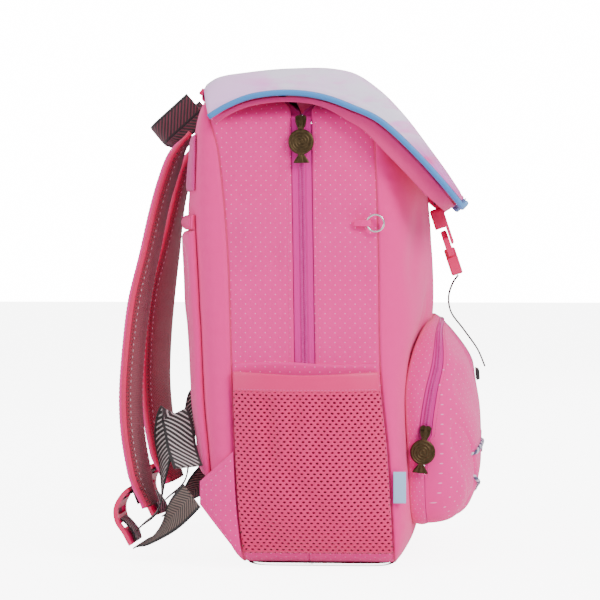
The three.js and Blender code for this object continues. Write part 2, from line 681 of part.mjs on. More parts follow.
function addFrontWebbing() {
  const upper = flatWebbing([[-97, 340], [-98.4, 325], [-101.5, 309], [-103.2, 302.4]], 22, 6);
  addPart('lid_webbing', upper, fabric(BLACK_WEBBING));
  const lower = [[-124, 240.4], [-119, 233], [-115.5, 221], [-118, 207], [-129, 192], [-141, 175], [-147.5, 160]];
  addPart('front_webbing', flatWebbing(lower, 22, 14), fabric(BLACK_WEBBING));
  const anchor = sheet(3, 3, (u, v, w) => {
    const z = lerp(148, 158, v);
    return vec(lerp(-14, 14, u), pocketFace(z) - 0.9 - 3.6 * w, z);
  });
  addPart('webbing_anchor', anchor, fabric(BLACK_WEBBING));
}

// ---------------------------------------------------------------- side-release buckle
// Local frame: z along the strap towards the lid, -y out of the bag, x across.
function socketGeometry() {
  const { width, thickness, half } = BUCKLE;
  const shell = plate(roundedRectangle(width, 34, 4), thickness, 1.2, 3).rotateX(Math.PI / 2).translate(0, 0, half - 17);
  const cavity = block(width - 6, 7, 30, 0, 1, half - 25);
  const openBack = block(width - 6, 10, 17, 0, 5, half - 27);
  const windows = block(width + 4, 30, 9, 0, 11.5, half - 22.5);
  const mouthBack = block(width + 4, 30, 12, 0, 11.5, half - 30);
  const slot = block(24, 30, 3, 0, 0, half - 4.5);
  return carve([shell], [cavity, openBack, windows, mouthBack, slot]);
}

function plugGeometry() {
  const { width, half } = BUCKLE;
  const base = plate(roundedRectangle(width, 24, 5), 10, 1, 3).rotateX(Math.PI / 2).translate(0, 0, -half + 12);
  const tongue = block(5, 4, 18, 0, 0, 1);
  const armGaps = SIDES.map(({ sign }) => block(9, 30, 8, sign * (width / 2 - 1.5), 0, -10.5));
  const slots = [-27.5, -22].map((z) => block(24, 30, 2.6, 0, 0, z));
  return carve([base, tongue], [...armGaps, ...slots]);
}

function armGeometry(sign) {
  const shape = new THREE.Shape();
  shape.moveTo(sign * 13.2, -13.4);
  shape.lineTo(sign * 15.6, -13.4);
  shape.lineTo(sign * 16.4, -2);
  shape.lineTo(sign * 16.4, 3.4);
  shape.lineTo(sign * 13, 4.4);
  shape.lineTo(sign * 11, 9.4);
  shape.lineTo(sign * 8.6, 9.4);
  shape.lineTo(sign * 11.4, -2);
  shape.closePath();
  return plate(shape, 5.4, 0).rotateX(Math.PI / 2);
}

function addBuckle() {
  const frame = new THREE.Group();
  frame.position.set(0, BUCKLE.y, BUCKLE.z);
  frame.rotation.x = BUCKLE.tilt;
  bag.add(frame);
  addPart('buckle_socket', socketGeometry(), plastic(HOT_PINK), frame);
  addPart('buckle_plug', plugGeometry(), plastic(HOT_PINK), frame);
  SIDES.forEach(({ name, sign }) => {
    addPart(`latch_arm_${name}`, armGeometry(sign), plastic(HOT_PINK), frame);
  });
}

// ---------------------------------------------------------------- haul loop
function addHaulLoop() {
  const thickness = 2.2;
  const outline = (half, reach, radius) => {
    const path = new THREE.Path();
    path.moveTo(-half - 4, 0);
    path.quadraticCurveTo(-half, reach * 0.4, -half + 4, reach - radius);
    path.quadraticCurveTo(-half + 6, reach, -half + 6 + radius, reach);
    path.lineTo(half - 6 - radius, reach);
    path.quadraticCurveTo(half - 6, reach, half - 4, reach - radius);
    path.quadraticCurveTo(half, reach * 0.4, half + 4, 0);
    return path;
  };
  const shape = new THREE.Shape(outline(50, 46, 14).getPoints(5));
  const inner = outline(50 - thickness, 46 - thickness, 14).getPoints(5).reverse();
  inner.forEach((point) => shape.lineTo(point.x, point.y));
  const loop = addPart('haul_loop', plate(shape, HAUL_WIDTH, 0, 4), fabric(BLACK_WEBBING));
  loop.rotation.x = THREE.MathUtils.degToRad(-40);
  loop.position.set(0, 104.5, 391);
}

// ---------------------------------------------------------------- shoulder straps
// Middle line of a strap, as [half spacing across, y, z] from its sewn top to its lower end.
const STRAP_LINE = [
  [46, 109.5, 361], [48, 115.5, 353], [51, 122.5, 340], [54, 129, 321], [58, 134.5, 300], [65, 142, 262],
  [72, 150, 222], [78, 154.5, 182], [83, 156.5, 142], [86, 155, 112], [87, 151.5, 88], [88, 146, 64], [88, 139.5, 46],
];
const STRAP_TWIST = { left: -4, right: 14 };

// Directions at a share of the way down a strap: along it, across its width, and out of its outer face.
function strapFrame(path, sign, v, twist) {
  const along = path.getTangentAt(v);
  const across = vec(1, 0, 0).applyAxisAngle(vec(0, 0, 1), -sign * twist);
  across.addScaledVector(along, -across.dot(along)).normalize();
  return { along, across, out: across.clone().cross(along).normalize() };
}

function strapPath(sign) {
  return new THREE.CatmullRomCurve3(STRAP_LINE.map(([x, y, z]) => vec(sign * x, y, z)));
}

function strapGeometry(name, sign) {
  const path = strapPath(sign);
  return sheet(4, 20, (u, v, w) => {
    const twist = THREE.MathUtils.degToRad(STRAP_TWIST[name]) * smooth(v, 0.15, 0.5);
    const { across, out } = strapFrame(path, sign, v, twist);
    const s = Math.sin(Math.PI * (u - 0.5));
    const taper = lerp(0.62, 1, smooth(v, 0, 0.1)) * lerp(1, 0.55, smooth(v, 0.9, 1));
    const half = (STRAP_THICKNESS / 2) * lerp(0.35, 1, dome(s, 3)) * lerp(0.35, 1, smooth(v, 0, 0.08));
    return path.getPointAt(v)
      .addScaledVector(across, s * (STRAP_WIDTH / 2) * taper)
      .addScaledVector(out, (2 * w - 1) * half);
  });
}

// Ladder-lock adjuster: a plate with an S-shaped side profile, slotted for the webbing.
// Local frame: x across, z up along the strap's end, y out of its outer face.
const ADJUSTER = { x: 88, y: 157.5, z: 37, half: 19 };
function adjusterGeometry() {
  const side = new THREE.SplineCurve([
    new THREE.Vector2(-3, 24), new THREE.Vector2(3, 18), new THREE.Vector2(8, 8), new THREE.Vector2(7, -3),
    new THREE.Vector2(1, -12), new THREE.Vector2(-5, -23),
  ]);
  const profile = sheet(1, 16, (u, v, w) => {
    const point = side.getPointAt(v);
    const tangent = side.getTangentAt(v);
    const lift = (w - 0.5) * 3.6;
    return vec((u - 0.5) * 2 * ADJUSTER.half, point.x - tangent.y * lift, point.y + tangent.x * lift);
  });
  const slots = [17, 4.5, -8].map((z) => block(28, 40, 5.6, 0, 0, z));
  return carve([profile], slots);
}

// A webbing ribbon between two places, its width turning from one direction to another on the way.
function turningWebbing(points, widthStart, widthEnd, steps) {
  const path = new THREE.CatmullRomCurve3(points);
  return sheet(1, steps, (u, v, w) => {
    const along = path.getTangentAt(v);
    const across = widthStart.clone().lerp(widthEnd, smooth(v, 0, 1));
    across.addScaledVector(along, -across.dot(along)).normalize();
    const out = across.clone().cross(along);
    return path.getPointAt(v)
      .addScaledVector(across, (u - 0.5) * WEBBING_WIDTH)
      .addScaledVector(out, (w - 0.5) * WEBBING_THICKNESS);
  });
}

function addShoulderStraps() {
  SIDES.forEach(({ name, sign }) => {
    const at = (x, y, z) => vec(sign * x, y, z);
    addPart(`shoulder_strap_${name}`, strapGeometry(name, sign), fabric(SATIN_PINK));
    const adjuster = addPart(`adjuster_${name}`, adjusterGeometry(), plastic(HOT_PINK));
    adjuster.position.set(sign * ADJUSTER.x, ADJUSTER.y, ADJUSTER.z);
    adjuster.rotation.z = THREE.MathUtils.degToRad(-sign * STRAP_TWIST[name]);
    const lower = [at(88, 147, 13), at(95, 138, 18), at(110, 123, 33), at(126, 107, 51), at(134.5, 99, 60)];
    const webbing = turningWebbing(lower, vec(1, 0, 0), at(0, 0.35, 0.9), 12);
    addPart(`strap_webbing_${name}`, webbing, fabric(BLACK_WEBBING));
    const tail = [at(90, 147, 28), at(98, 131, 44), at(101, 127, 72), at(105, 124, 108), at(109, 117, 126),
      at(114, 113, 118), at(124, 108, 98), at(137, 101.5, 84)];
    const upper = turningWebbing(tail, vec(1, 0, 0), at(0.2, 0.9, 0.1), 20);
    addPart(`strap_tail_${name}`, upper, fabric(BLACK_WEBBING));
  });
}

// ---------------------------------------------------------------- assembly
addPanels();
addGussets();
addBackPads();
addInsides();
addMainZips();
addMainSliders();
addSidePockets();
addWings();
addRingAndLabel();
addPocketShell();
addPocketZip();
addPocketSlider();
addLid();
addLidHem();
addFrontWebbing();
addBuckle();
addHaulLoop();
addShoulderStraps();

export default bag;
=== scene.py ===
import json
import math

import bmesh
import bpy
import numpy as np
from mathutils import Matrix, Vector


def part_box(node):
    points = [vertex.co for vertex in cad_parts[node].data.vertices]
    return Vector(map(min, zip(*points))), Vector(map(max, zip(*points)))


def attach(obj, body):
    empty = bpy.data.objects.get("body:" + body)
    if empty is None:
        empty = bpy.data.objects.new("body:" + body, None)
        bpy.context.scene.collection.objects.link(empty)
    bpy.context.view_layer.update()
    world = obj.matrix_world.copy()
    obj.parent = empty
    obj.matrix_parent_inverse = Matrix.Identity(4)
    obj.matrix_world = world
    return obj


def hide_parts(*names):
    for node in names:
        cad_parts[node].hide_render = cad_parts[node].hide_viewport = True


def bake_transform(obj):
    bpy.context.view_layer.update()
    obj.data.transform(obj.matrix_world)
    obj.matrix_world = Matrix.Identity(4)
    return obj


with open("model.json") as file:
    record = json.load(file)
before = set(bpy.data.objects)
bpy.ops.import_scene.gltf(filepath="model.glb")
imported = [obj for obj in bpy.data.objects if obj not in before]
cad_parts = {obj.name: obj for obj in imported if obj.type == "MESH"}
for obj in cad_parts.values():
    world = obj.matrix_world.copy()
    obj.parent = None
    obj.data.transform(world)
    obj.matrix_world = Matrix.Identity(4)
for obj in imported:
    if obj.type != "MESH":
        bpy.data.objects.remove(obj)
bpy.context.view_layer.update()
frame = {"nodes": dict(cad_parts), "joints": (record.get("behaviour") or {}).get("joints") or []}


# ---------------------------------------------------------------- studio: camera, floor and soft light
# A long lens level with the bag's left side, turned a little towards its front. One broad lamp on the camera's
# side and a weaker one overhead give the soft, nearly shadowless light of a catalogue.
scene = bpy.context.scene


def look_at(obj, place, target):
    """Puts an object at a place, with its local -Z pointing at the target."""
    obj.location = place
    obj.rotation_euler = (Vector(target) - Vector(place)).to_track_quat("-Z", "Y").to_euler()
    scene.collection.objects.link(obj)


def area_lamp(name, place, target, width, height, power):
    """A rectangular soft lamp aimed at a target."""
    lamp = bpy.data.lights.new(name, "AREA")
    lamp.shape = "RECTANGLE"
    lamp.size = width
    lamp.size_y = height
    lamp.energy = power
    look_at(bpy.data.objects.new(name, lamp), place, target)


CAMERA_TURN = math.radians(-87)
CAMERA_RISE = math.radians(2)
CAMERA_DISTANCE = 1.7
AIM = Vector((-0.145, 0.0, 0.223))
towards_camera = Vector((
    math.sin(CAMERA_TURN) * math.cos(CAMERA_RISE),
    -math.cos(CAMERA_TURN) * math.cos(CAMERA_RISE),
    math.sin(CAMERA_RISE),
))
camera_data = bpy.data.cameras.new("camera")
camera_data.lens = 124.4
camera_data.shift_x = -0.0167
camera = bpy.data.objects.new("camera", camera_data)
look_at(camera, AIM + CAMERA_DISTANCE * towards_camera, AIM)
scene.camera = camera

area_lamp("key_lamp", (-1.3, -1.5, 1.5), (0, 0, 0.22), 0.9, 0.9, 44)
area_lamp("back_lamp", (-1.0, 1.7, 1.0), (0, 0, 0.2), 1.0, 1.0, 17)
area_lamp("far_lamp", (1.6, -0.7, 1.4), (0, 0, 0.2), 1.2, 1.2, 14)
area_lamp("top_lamp", (0.0, 0.0, 2.0), (0, 0, 0.2), 1.6, 1.6, 19)

world = bpy.data.worlds.new("studio")
world.use_nodes = True
backdrop = world.node_tree.nodes["Background"]
backdrop.inputs["Color"].default_value = (1.0, 0.99, 0.993, 1)
BACKDROP_GLOW = 16.0
ROOM_LIGHT = 0.55
FLOOR_GLOW = 7.0
seen = world.node_tree.nodes.new("ShaderNodeLightPath")
glow = world.node_tree.nodes.new("ShaderNodeMath")
glow.operation = "MULTIPLY_ADD"
glow.inputs[1].default_value = BACKDROP_GLOW - ROOM_LIGHT
glow.inputs[2].default_value = ROOM_LIGHT
world.node_tree.links.new(seen.outputs["Is Camera Ray"], glow.inputs[0])
world.node_tree.links.new(glow.outputs[0], backdrop.inputs["Strength"])
scene.world = world

floor_mesh = bpy.data.meshes.new("floor")
floor_mesh.from_pydata([(-6, -6, 0), (6, -6, 0), (6, 6, 0), (-6, 6, 0)], [], [(0, 1, 2, 3)])
floor = bpy.data.objects.new("floor", floor_mesh)
scene.collection.objects.link(floor)
floor_paint = bpy.data.materials.new("floor_paint")
floor_paint.use_nodes = True
floor_paint.node_tree.nodes["Principled BSDF"].inputs["Base Color"].default_value = (0.93, 0.93, 0.93, 1)
floor_paint.node_tree.nodes["Principled BSDF"].inputs["Roughness"].default_value = 0.9
# The floor glows to the camera only, so it looks like lit paper but throws no light on the bag.
floor_tree = floor_paint.node_tree
floor_seen = floor_tree.nodes.new("ShaderNodeLightPath")
floor_glow = floor_tree.nodes.new("ShaderNodeMath")
floor_glow.operation = "MULTIPLY"
floor_glow.inputs[1].default_value = FLOOR_GLOW
floor_tree.links.new(floor_seen.outputs["Is Camera Ray"], floor_glow.inputs[0])
floor_tree.links.new(floor_glow.outputs[0], floor_tree.nodes["Principled BSDF"].inputs["Emission Strength"])
floor_tree.nodes["Principled BSDF"].inputs["Emission Color"].default_value = (1, 1, 1, 1)
floor_mesh.materials.append(floor_paint)


# ---------------------------------------------------------------- side walls of the bag
# One long strip of foam-backed polyester runs up each side and over the top, parted down its middle by the main
# zip. It is printed with tiny white dots and topstitched along the zip. Shapes are worked in millimetres.
WALL = 2.8
SEAM_GAP = 0.35
BODY_BOTTOM = 3.4
BODY_TOP = 395.6
GUSSET_BULGE = 4
ZIP_FOOT = 158
ZIP_HEAD = 374
MOUTH_HALF = 21


def smooth(x, low, high):
    """A soft step from 0 to 1 between low and high: the share squared times three less twice the share."""
    share = np.clip((np.asarray(x, float) - low) / (high - low), 0, 1)
    return share * share * (3 - 2 * share)


def through(stations):
    """A smooth function through [place, value] stations: cubic pieces whose slopes join each station's neighbours."""
    place, value = np.array(stations, float).T
    before, after = np.maximum(np.arange(len(place)) - 1, 0), np.minimum(
        np.arange(len(place)) + 1, len(place) - 1
    )
    slope = (value[after] - value[before]) / (place[after] - place[before])

    def at(x):
        x = np.clip(x, place[0], place[-1])
        k = np.clip(np.searchsorted(place, x), 1, len(place) - 1)
        span = place[k] - place[k - 1]
        t = (x - place[k - 1]) / span
        rise = t * t * (3 - 2 * t)
        bend = span * (slope[k - 1] * t * (1 - t) ** 2 + slope[k] * t * t * (t - 1))
        return value[k - 1] + (value[k] - value[k - 1]) * rise + bend

    return at


def rounded_run(corners):
    """Points along a run of straight and quadratic pieces. Each corner is [end] or [control, end]."""
    run = [np.array(corners[0][0], float)[None]]
    share = np.linspace(0, 1, 41)[1:, None]
    for corner in corners[1:]:
        start, end = run[-1][-1], np.array(corner[-1], float)
        bend = np.array(corner[0], float) if len(corner) == 2 else (start + end) / 2
        run.append((1 - share) ** 2 * start + 2 * share * (1 - share) * bend + share ** 2 * end)
    return np.concatenate(run)


def along(run, share):
    """Points and unit directions at equal-length shares of the way along a run of points."""
    steps = np.linalg.norm(np.diff(run, axis=0), axis=1)
    length = np.concatenate([[0], np.cumsum(steps)])
    middle = (length[1:] + length[:-1]) / 2
    direction = np.diff(run, axis=0) / steps[:, None]
    at = np.clip(share, 0, 1) * length[-1]
    place = np.stack([np.interp(at, length, axis) for axis in run.T], -1)
    heading = np.stack([np.interp(at, middle, axis) for axis in direction.T], -1)
    return place, heading / np.linalg.norm(heading, axis=-1, keepdims=True)


half_outline = rounded_run([
    [(-116, BODY_BOTTOM)], [(-125.8, BODY_BOTTOM), (-132, 8)], [(-142, 15.4), (-142, 36)], [(-143, 140)],
    [(-143, 170), (-141.5, 200)], [(-131, 366)], [(-129.8, 385.5), (-98, 390.5)], [
        (-60, BODY_TOP), (0, BODY_TOP)
    ],
])
whole_outline = np.concatenate([half_outline, half_outline[-2::-1] * [-1, 1]])

rear_seam = through([[0, 55], [60, 61], [160, 65], [265, 69], [345, 77], [372, 84], [400, 88]])
front_seam = through([[0, -70], [90, -65], [164, -58], [270, -56], [400, -51]])


def half_width(z):
    """Half the body's width at a height, read off its outline."""
    return np.interp(z, half_outline[:, 1], -half_outline[:, 0])


def bulge(y, z):
    """How far a side wall swells out between its seams: one arch of a sine across it."""
    across = (rear_seam(z) - y) / (rear_seam(z) - front_seam(z))
    return GUSSET_BULGE * np.sin(np.pi * across) * smooth(z, 5, 45)


def zip_line(z):
    """Where the main zip runs across a side wall: nearly upright, leaning back with height."""
    return 4 + 4 * (z - ZIP_FOOT) / (ZIP_HEAD - ZIP_FOOT)


def mouth_half(z):
    """Half the slot between the two strips: closed below the zip, a tape wide beside it, gaping over the top."""
    return 0.15 + 8.5 * smooth(z, 128, 140) + (MOUTH_HALF - 8.65) * smooth(z, 376, 390)


def crease(a, b, start, end, width, depth):
    """A soft fold along a line from start to end: bell-shaped across, and fading at both ends."""
    line = np.subtract(end, start)
    share = ((a - start[0]) * line[0] + (b - start[1]) * line[1]) / (line @ line)
    gap = np.hypot(a - start[0] - share * line[0], b - start[1] - share * line[1])
    fade = smooth(share, -0.25, 0.25) * (1 - smooth(share, 0.75, 1.25))
    return depth * fade * np.exp(-((gap / width) ** 2))


def ripple(a, b, seed, longest=70, shortest=22):
    """Gentle unevenness about zero: seven sine waves of seeded length, heading and start."""
    chance = np.random.RandomState(seed)
    total = 0
    for length in np.linspace(longest, shortest, 7):
        heading, start = chance.uniform(0, math.pi), chance.uniform(0, 2 * math.pi)
        total = total + length * np.sin(
            2 * np.pi * (a * np.cos(heading) + b * np.sin(heading)) / length + start
        )
    return total / (3.5 * longest)


def grid_faces(rows, columns, start=0):
    """Quads between neighbouring rows and columns of points that are numbered row by row."""
    corner = start + np.arange(rows * columns).reshape(rows, columns)
    return np.stack([corner[:-1, :-1], corner[:-1, 1:], corner[1:, 1:], corner[1:, :-1]], -1).reshape(-1, 4)


def facing(points, faces):
    """Six times the volume inside quads: negative when they face inwards."""
    a, b, c, d = (points[faces[:, k]] for k in range(4))
    return np.einsum("ij,ij->", a, np.cross(b, c) + np.cross(c, d))


def new_piece(name, points, faces, cloth=None, material=None, merge=True):
    """An object from places in millimetres and quads. cloth gives each place its position on the cloth, in metres."""
    points = np.asarray(points, float).reshape(-1, 3)
    if facing(points, faces) < 0:
        faces = faces[:, ::-1]
    mesh = bpy.data.meshes.new(name)
    mesh.vertices.add(len(points))
    mesh.vertices.foreach_set("co", (points * 0.001).ravel())
    mesh.loops.add(faces.size)
    mesh.loops.foreach_set("vertex_index", faces.ravel())
    mesh.polygons.add(len(faces))
    mesh.polygons.foreach_set("loop_start", np.arange(0, faces.size, 4))
    mesh.update(calc_edges=True)
    if cloth is not None:
        layer = mesh.uv_layers.new(name="cloth")
        layer.data.foreach_set("uv", np.asarray(cloth, float).reshape(-1, 2)[faces.ravel()].ravel())
    if merge:
        shape = bmesh.new()
        shape.from_mesh(mesh)
        bmesh.ops.remove_doubles(shape, verts=shape.verts, dist=2e-6)
        shape.to_mesh(mesh)
        shape.free()
    mesh.shade_smooth()
    mesh.update()
    obj = bpy.data.objects.new(name, mesh)
    scene.collection.objects.link(obj)
    if material:
        mesh.materials.append(material)
    return obj


def shell(name, outer, inner, cloth, material, ring=False):
    """A closed skin from its outer and inner grids, joined round the rim. A ring's columns meet, so only its two
    end rows get a rim."""
    rows, columns = outer.shape[:2]
    count = rows * columns
    corner = np.arange(count).reshape(rows, columns)
    if ring:
        first, last = corner[0], corner[-1, ::-1]
        edge = np.concatenate([np.stack([first[:-1], first[1:]], -1), np.stack([last[:-1], last[1:]], -1)])
    else:
        loop = np.concatenate([corner[0, :-1], corner[:-1, -1], corner[-1, :0:-1], corner[:0:-1, 0]])
        edge = np.stack([loop, np.roll(loop, -1)], -1)
    rim = np.stack([edge[:, 1], edge[:, 0], edge[:, 0] + count, edge[:, 1] + count], -1)
    faces = np.concatenate([grid_faces(rows, columns), grid_faces(rows, columns, count)[:, ::-1], rim])
    both = np.concatenate([outer.reshape(-1, 3), inner.reshape(-1, 3)])
    return new_piece(name, both, faces, np.concatenate([cloth.reshape(-1, 2)] * 2), material)


def add(tree, kind, *inputs, **settings):
    """Adds a shader node, fills its inputs in order with values or with the sockets that feed them."""
    node = tree.nodes.new(kind)
    for key, value in settings.items():
        setattr(node, key, value)
    for socket, value in zip(node.inputs, inputs):
        if isinstance(value, bpy.types.NodeSocket):
            tree.links.new(value, socket)
        elif value is not None:
            socket.default_value = value
    return node


def math_of(tree, operation, *inputs):
    """The result of a Math node."""
    return add(tree, "ShaderNodeMath", *inputs, operation=operation).outputs[0]


def vector_of(tree, operation, *inputs):
    """The result of a Vector Math node, or its value output where that is what the operation gives."""
    node = add(tree, "ShaderNodeVectorMath", *inputs, operation=operation)
    return node.outputs["Value" if operation == "LENGTH" else "Vector"]


def node_group(name, inputs, outputs):
    """An empty shader node group with named sockets, and its two end nodes."""
    group = bpy.data.node_groups.new(name, "ShaderNodeTree")
    for label, kind, value in inputs:
        socket = group.interface.new_socket(label, in_out="INPUT", socket_type=kind)
        if value is not None:
            socket.default_value = value
    for label, kind in outputs:
        group.interface.new_socket(label, in_out="OUTPUT", socket_type=kind)
    return group, group.nodes.new("NodeGroupInput"), group.nodes.new("NodeGroupOutput")


def build_weave():
    """Plain weave: the product of a sine along each thread direction, and a slow unevenness of the dye."""
    group, given, result = node_group(
        "plain_weave",
        [("Cloth", "NodeSocketVector", None), ("Pitch", "NodeSocketFloat", 0.0007)],
        [("Height", "NodeSocketFloat"), ("Dye", "NodeSocketFloat")],
    )
    scaled = vector_of(group, "SCALE", given.outputs["Cloth"])
    turns = math_of(group, "DIVIDE", 2 * math.pi, given.outputs["Pitch"])
    group.links.new(turns, scaled.node.inputs["Scale"])
    axes = add(group, "ShaderNodeSeparateXYZ", scaled)
    waves = [math_of(group, "SINE", axes.outputs[k]) for k in (0, 1)]
    crossed = math_of(group, "MULTIPLY_ADD", math_of(group, "MULTIPLY", *waves), 0.5, 0.5)
    slub = add(group, "ShaderNodeTexNoise", given.outputs["Cloth"], None, 900.0, 2.0)
    height = math_of(group, "MULTIPLY_ADD", slub.outputs[0], 0.6, crossed)
    group.links.new(height, result.inputs["Height"])
    patchy = add(group, "ShaderNodeTexNoise", given.outputs["Cloth"], None, 22.0, 3.0)
    grainy = add(group, "ShaderNodeTexNoise", given.outputs["Cloth"], None, 700.0, 2.0)
    dye = math_of(
        group, "MULTIPLY_ADD", grainy.outputs[0], 0.45,
        math_of(group, "MULTIPLY", patchy.outputs[0], 0.55)
    )
    group.links.new(dye, result.inputs["Dye"])
    return group


def build_dots():
    """Staggered round dots: the distance to the nearer of two square lattices, one shifted by half a pitch."""
    group, given, result = node_group(
        "small_dots",
        [
            ("Cloth", "NodeSocketVector", None), ("Pitch", "NodeSocketFloat", 0.0082),
            ("Radius", "NodeSocketFloat", 0.052)
        ],
        [("Mask", "NodeSocketFloat")],
    )
    scaled = vector_of(group, "SCALE", given.outputs["Cloth"])
    group.links.new(math_of(group, "DIVIDE", 1.0, given.outputs["Pitch"]), scaled.node.inputs["Scale"])
    gaps = []
    for shift in (0.0, 0.5):
        cell = vector_of(group, "FRACTION", vector_of(group, "ADD", scaled, (shift, shift, 0)))
        centred = vector_of(group, "MULTIPLY", vector_of(group, "SUBTRACT", cell, (0.5, 0.5, 0)), (1, 1, 0))
        gaps.append(vector_of(group, "LENGTH", centred))
    nearest = math_of(group, "MINIMUM", *gaps)
    outside = math_of(group, "MULTIPLY", given.outputs["Radius"], 1.6)
    inside = math_of(group, "MULTIPLY", given.outputs["Radius"], 0.7)
    step = add(
        group, "ShaderNodeMapRange", nearest, outside, inside, 0.0, 1.0, interpolation_type="SMOOTHSTEP"
    )
    group.links.new(step.outputs[0], result.inputs["Mask"])
    return group


weave_group = build_weave()
dots_group = build_dots()


def shader(name, roughness, sheen=0.0, metallic=0.0, coat=0.0):
    """A material with its Principled shader, whose plain values are set on its own sockets."""
    material = bpy.data.materials.new(name)
    material.use_nodes = True
    principled = material.node_tree.nodes["Principled BSDF"]
    principled.inputs["Roughness"].default_value = roughness
    principled.inputs["Metallic"].default_value = metallic
    principled.inputs["Sheen Weight"].default_value = sheen
    principled.inputs["Coat Weight"].default_value = coat
    return material, material.node_tree, principled


def mixed(tree, share, first, second):
    """A colour between two, by a share from 0 to 1."""
    node = tree.nodes.new("ShaderNodeMix")
    node.data_type = "RGBA"
    for label, value in (("Factor_Float", share), ("A_Color", first), ("B_Color", second)):
        socket = next(s for s in node.inputs if s.identifier == label)
        if isinstance(value, bpy.types.NodeSocket):
            tree.links.new(value, socket)
        else:
            socket.default_value = value
    return next(s for s in node.outputs if s.identifier == "Result_Color")


def rgb(red, green, blue):
    """A shader colour from the 0 to 255 values of a dye card."""
    level = [c / 255 for c in (red, green, blue)]
    return tuple(c / 12.92 if c <= 0.04045 else ((c + 0.055) / 1.055) ** 2.4 for c in level) + (1.0,)


def cloth_material(
    name, colour, shade, pitch=0.0007, relief=0.00012, dots=None, roughness=0.72, sheen=0.25
):
    """Woven polyester: its dye wanders between two colours, threads give the bump, and dots may be printed on it."""
    material, tree, principled = shader(name, roughness, sheen)
    cloth = add(tree, "ShaderNodeUVMap", uv_map="cloth").outputs[0]
    weave = add(tree, "ShaderNodeGroup", node_tree=weave_group)
    tree.links.new(cloth, weave.inputs["Cloth"])
    weave.inputs["Pitch"].default_value = pitch
    paint = mixed(tree, weave.outputs["Dye"], shade, colour)
    if dots:
        print_of = add(tree, "ShaderNodeGroup", node_tree=dots_group)
        tree.links.new(cloth, print_of.inputs["Cloth"])
        paint = mixed(tree, math_of(tree, "MULTIPLY", print_of.outputs["Mask"], 0.8), paint, dots)
    tree.links.new(paint, principled.inputs["Base Color"])
    bump = tree.nodes.new("ShaderNodeBump")
    bump.inputs["Distance"].default_value = relief
    bump.inputs["Strength"].default_value = 0.8
    tree.links.new(weave.outputs["Height"], bump.inputs["Height"])
    tree.links.new(bump.outputs[0], principled.inputs["Normal"])
    return material


dotted_pink = cloth_material(
    "dotted_polyester", rgb(255, 8, 156), rgb(246, 4, 138), dots=rgb(255, 165, 215)
)


def side_folds(sign, y, z):
    """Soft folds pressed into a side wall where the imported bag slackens, a little different on each side."""
    shift = 0 if sign < 0 else 14
    folds = crease(y, z, (14, 338 - shift), (66, 300 - shift), 9, -2.2)
    folds = folds + crease(y, z, (16, 312 - shift), (60, 276 - shift), 8, 1.1)
    folds = folds + crease(y, z, (18, 262 + shift), (62, 236 + shift), 10, -1.2)
    folds = folds + crease(y, z, (-44, 296), (-6, 274 - shift), 7, -1.3)
    folds = folds + crease(y, z, (-46, 322), (-8, 300), 9, 1.0)
    folds = folds + crease(y, z, (-50, 246 + shift), (-6, 204 + shift), 10, -1.3)
    folds = folds + crease(y, z, (-10, 352), (-44, 338), 8, -1.0)
    return 1.7 * folds + 1.0 * ripple(y, z, 4 + int(sign > 0), 80, 30)


def side_wall(name, edge_a, edge_b):
    """A strip over the whole arch between two edges. It swells between the seams, dips at its sewn edge, and is
    folded double beside the zip. Its inner face is the outer one moved in by the wall's thickness."""
    share, across = np.meshgrid(np.linspace(0, 1, 441), np.linspace(0, 1, 29), indexing="ij")
    arch, heading = along(whole_outline, share)
    x, z = arch[..., 0], arch[..., 1]
    y = edge_a(z) + (edge_b(z) - edge_a(z)) * across
    width = np.abs(edge_b(z) - edge_a(z))
    from_seam, from_zip = (
        across * width, (1 - across) * width
    ) if edge_a in seam_edges else ((1 - across) * width, across * width)
    sign = np.where(share < 0.5, -1.0, 1.0)
    free = smooth(from_seam, 0, 14) * smooth(from_zip, 3, 16) * smooth(z, 20, 60) * (1 - smooth(z, 372, 388))
    folds = np.where(sign < 0, side_folds(-1, y, z), side_folds(1, y, z)) * free
    dip = -0.8 * np.exp(-((from_seam / 1.6) ** 2)) - 0.35 * np.exp(
        -(((from_zip - 3.4) / 0.7) ** 2)
    ) * smooth(z, 150, 170)
    lift = bulge(y, z) + np.maximum(folds, -2.4) + dip
    normal = np.stack([heading[..., 1], np.zeros_like(z), -heading[..., 0]], -1)

    def skin(out):
        return np.stack([x, y, z], -1) - normal * out[..., None]

    cloth = np.stack([y, share * 1090], -1) * 0.001
    return shell(name, skin(lift), skin(bulge(y, z) - WALL), cloth, dotted_pink)


def rear_edge(z):
    return rear_seam(z) - SEAM_GAP


def front_edge(z):
    return front_seam(z) + SEAM_GAP


seam_edges = (rear_edge, front_edge)
rear_wall = side_wall("rear_side_wall", rear_edge, lambda z: zip_line(z) + mouth_half(z))
front_wall = side_wall("front_side_wall", lambda z: zip_line(z) - mouth_half(z), front_edge)
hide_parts("rear_gusset")
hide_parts("front_gusset")
for wall in (rear_wall, front_wall):
    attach(wall, "bag")


def side_point(sign, y, z, lift):
    """A place on a side wall, lifted off its outer face."""
    return np.stack(np.broadcast_arrays(sign * (half_width(z) + bulge(y, z) + lift), y, z), -1)


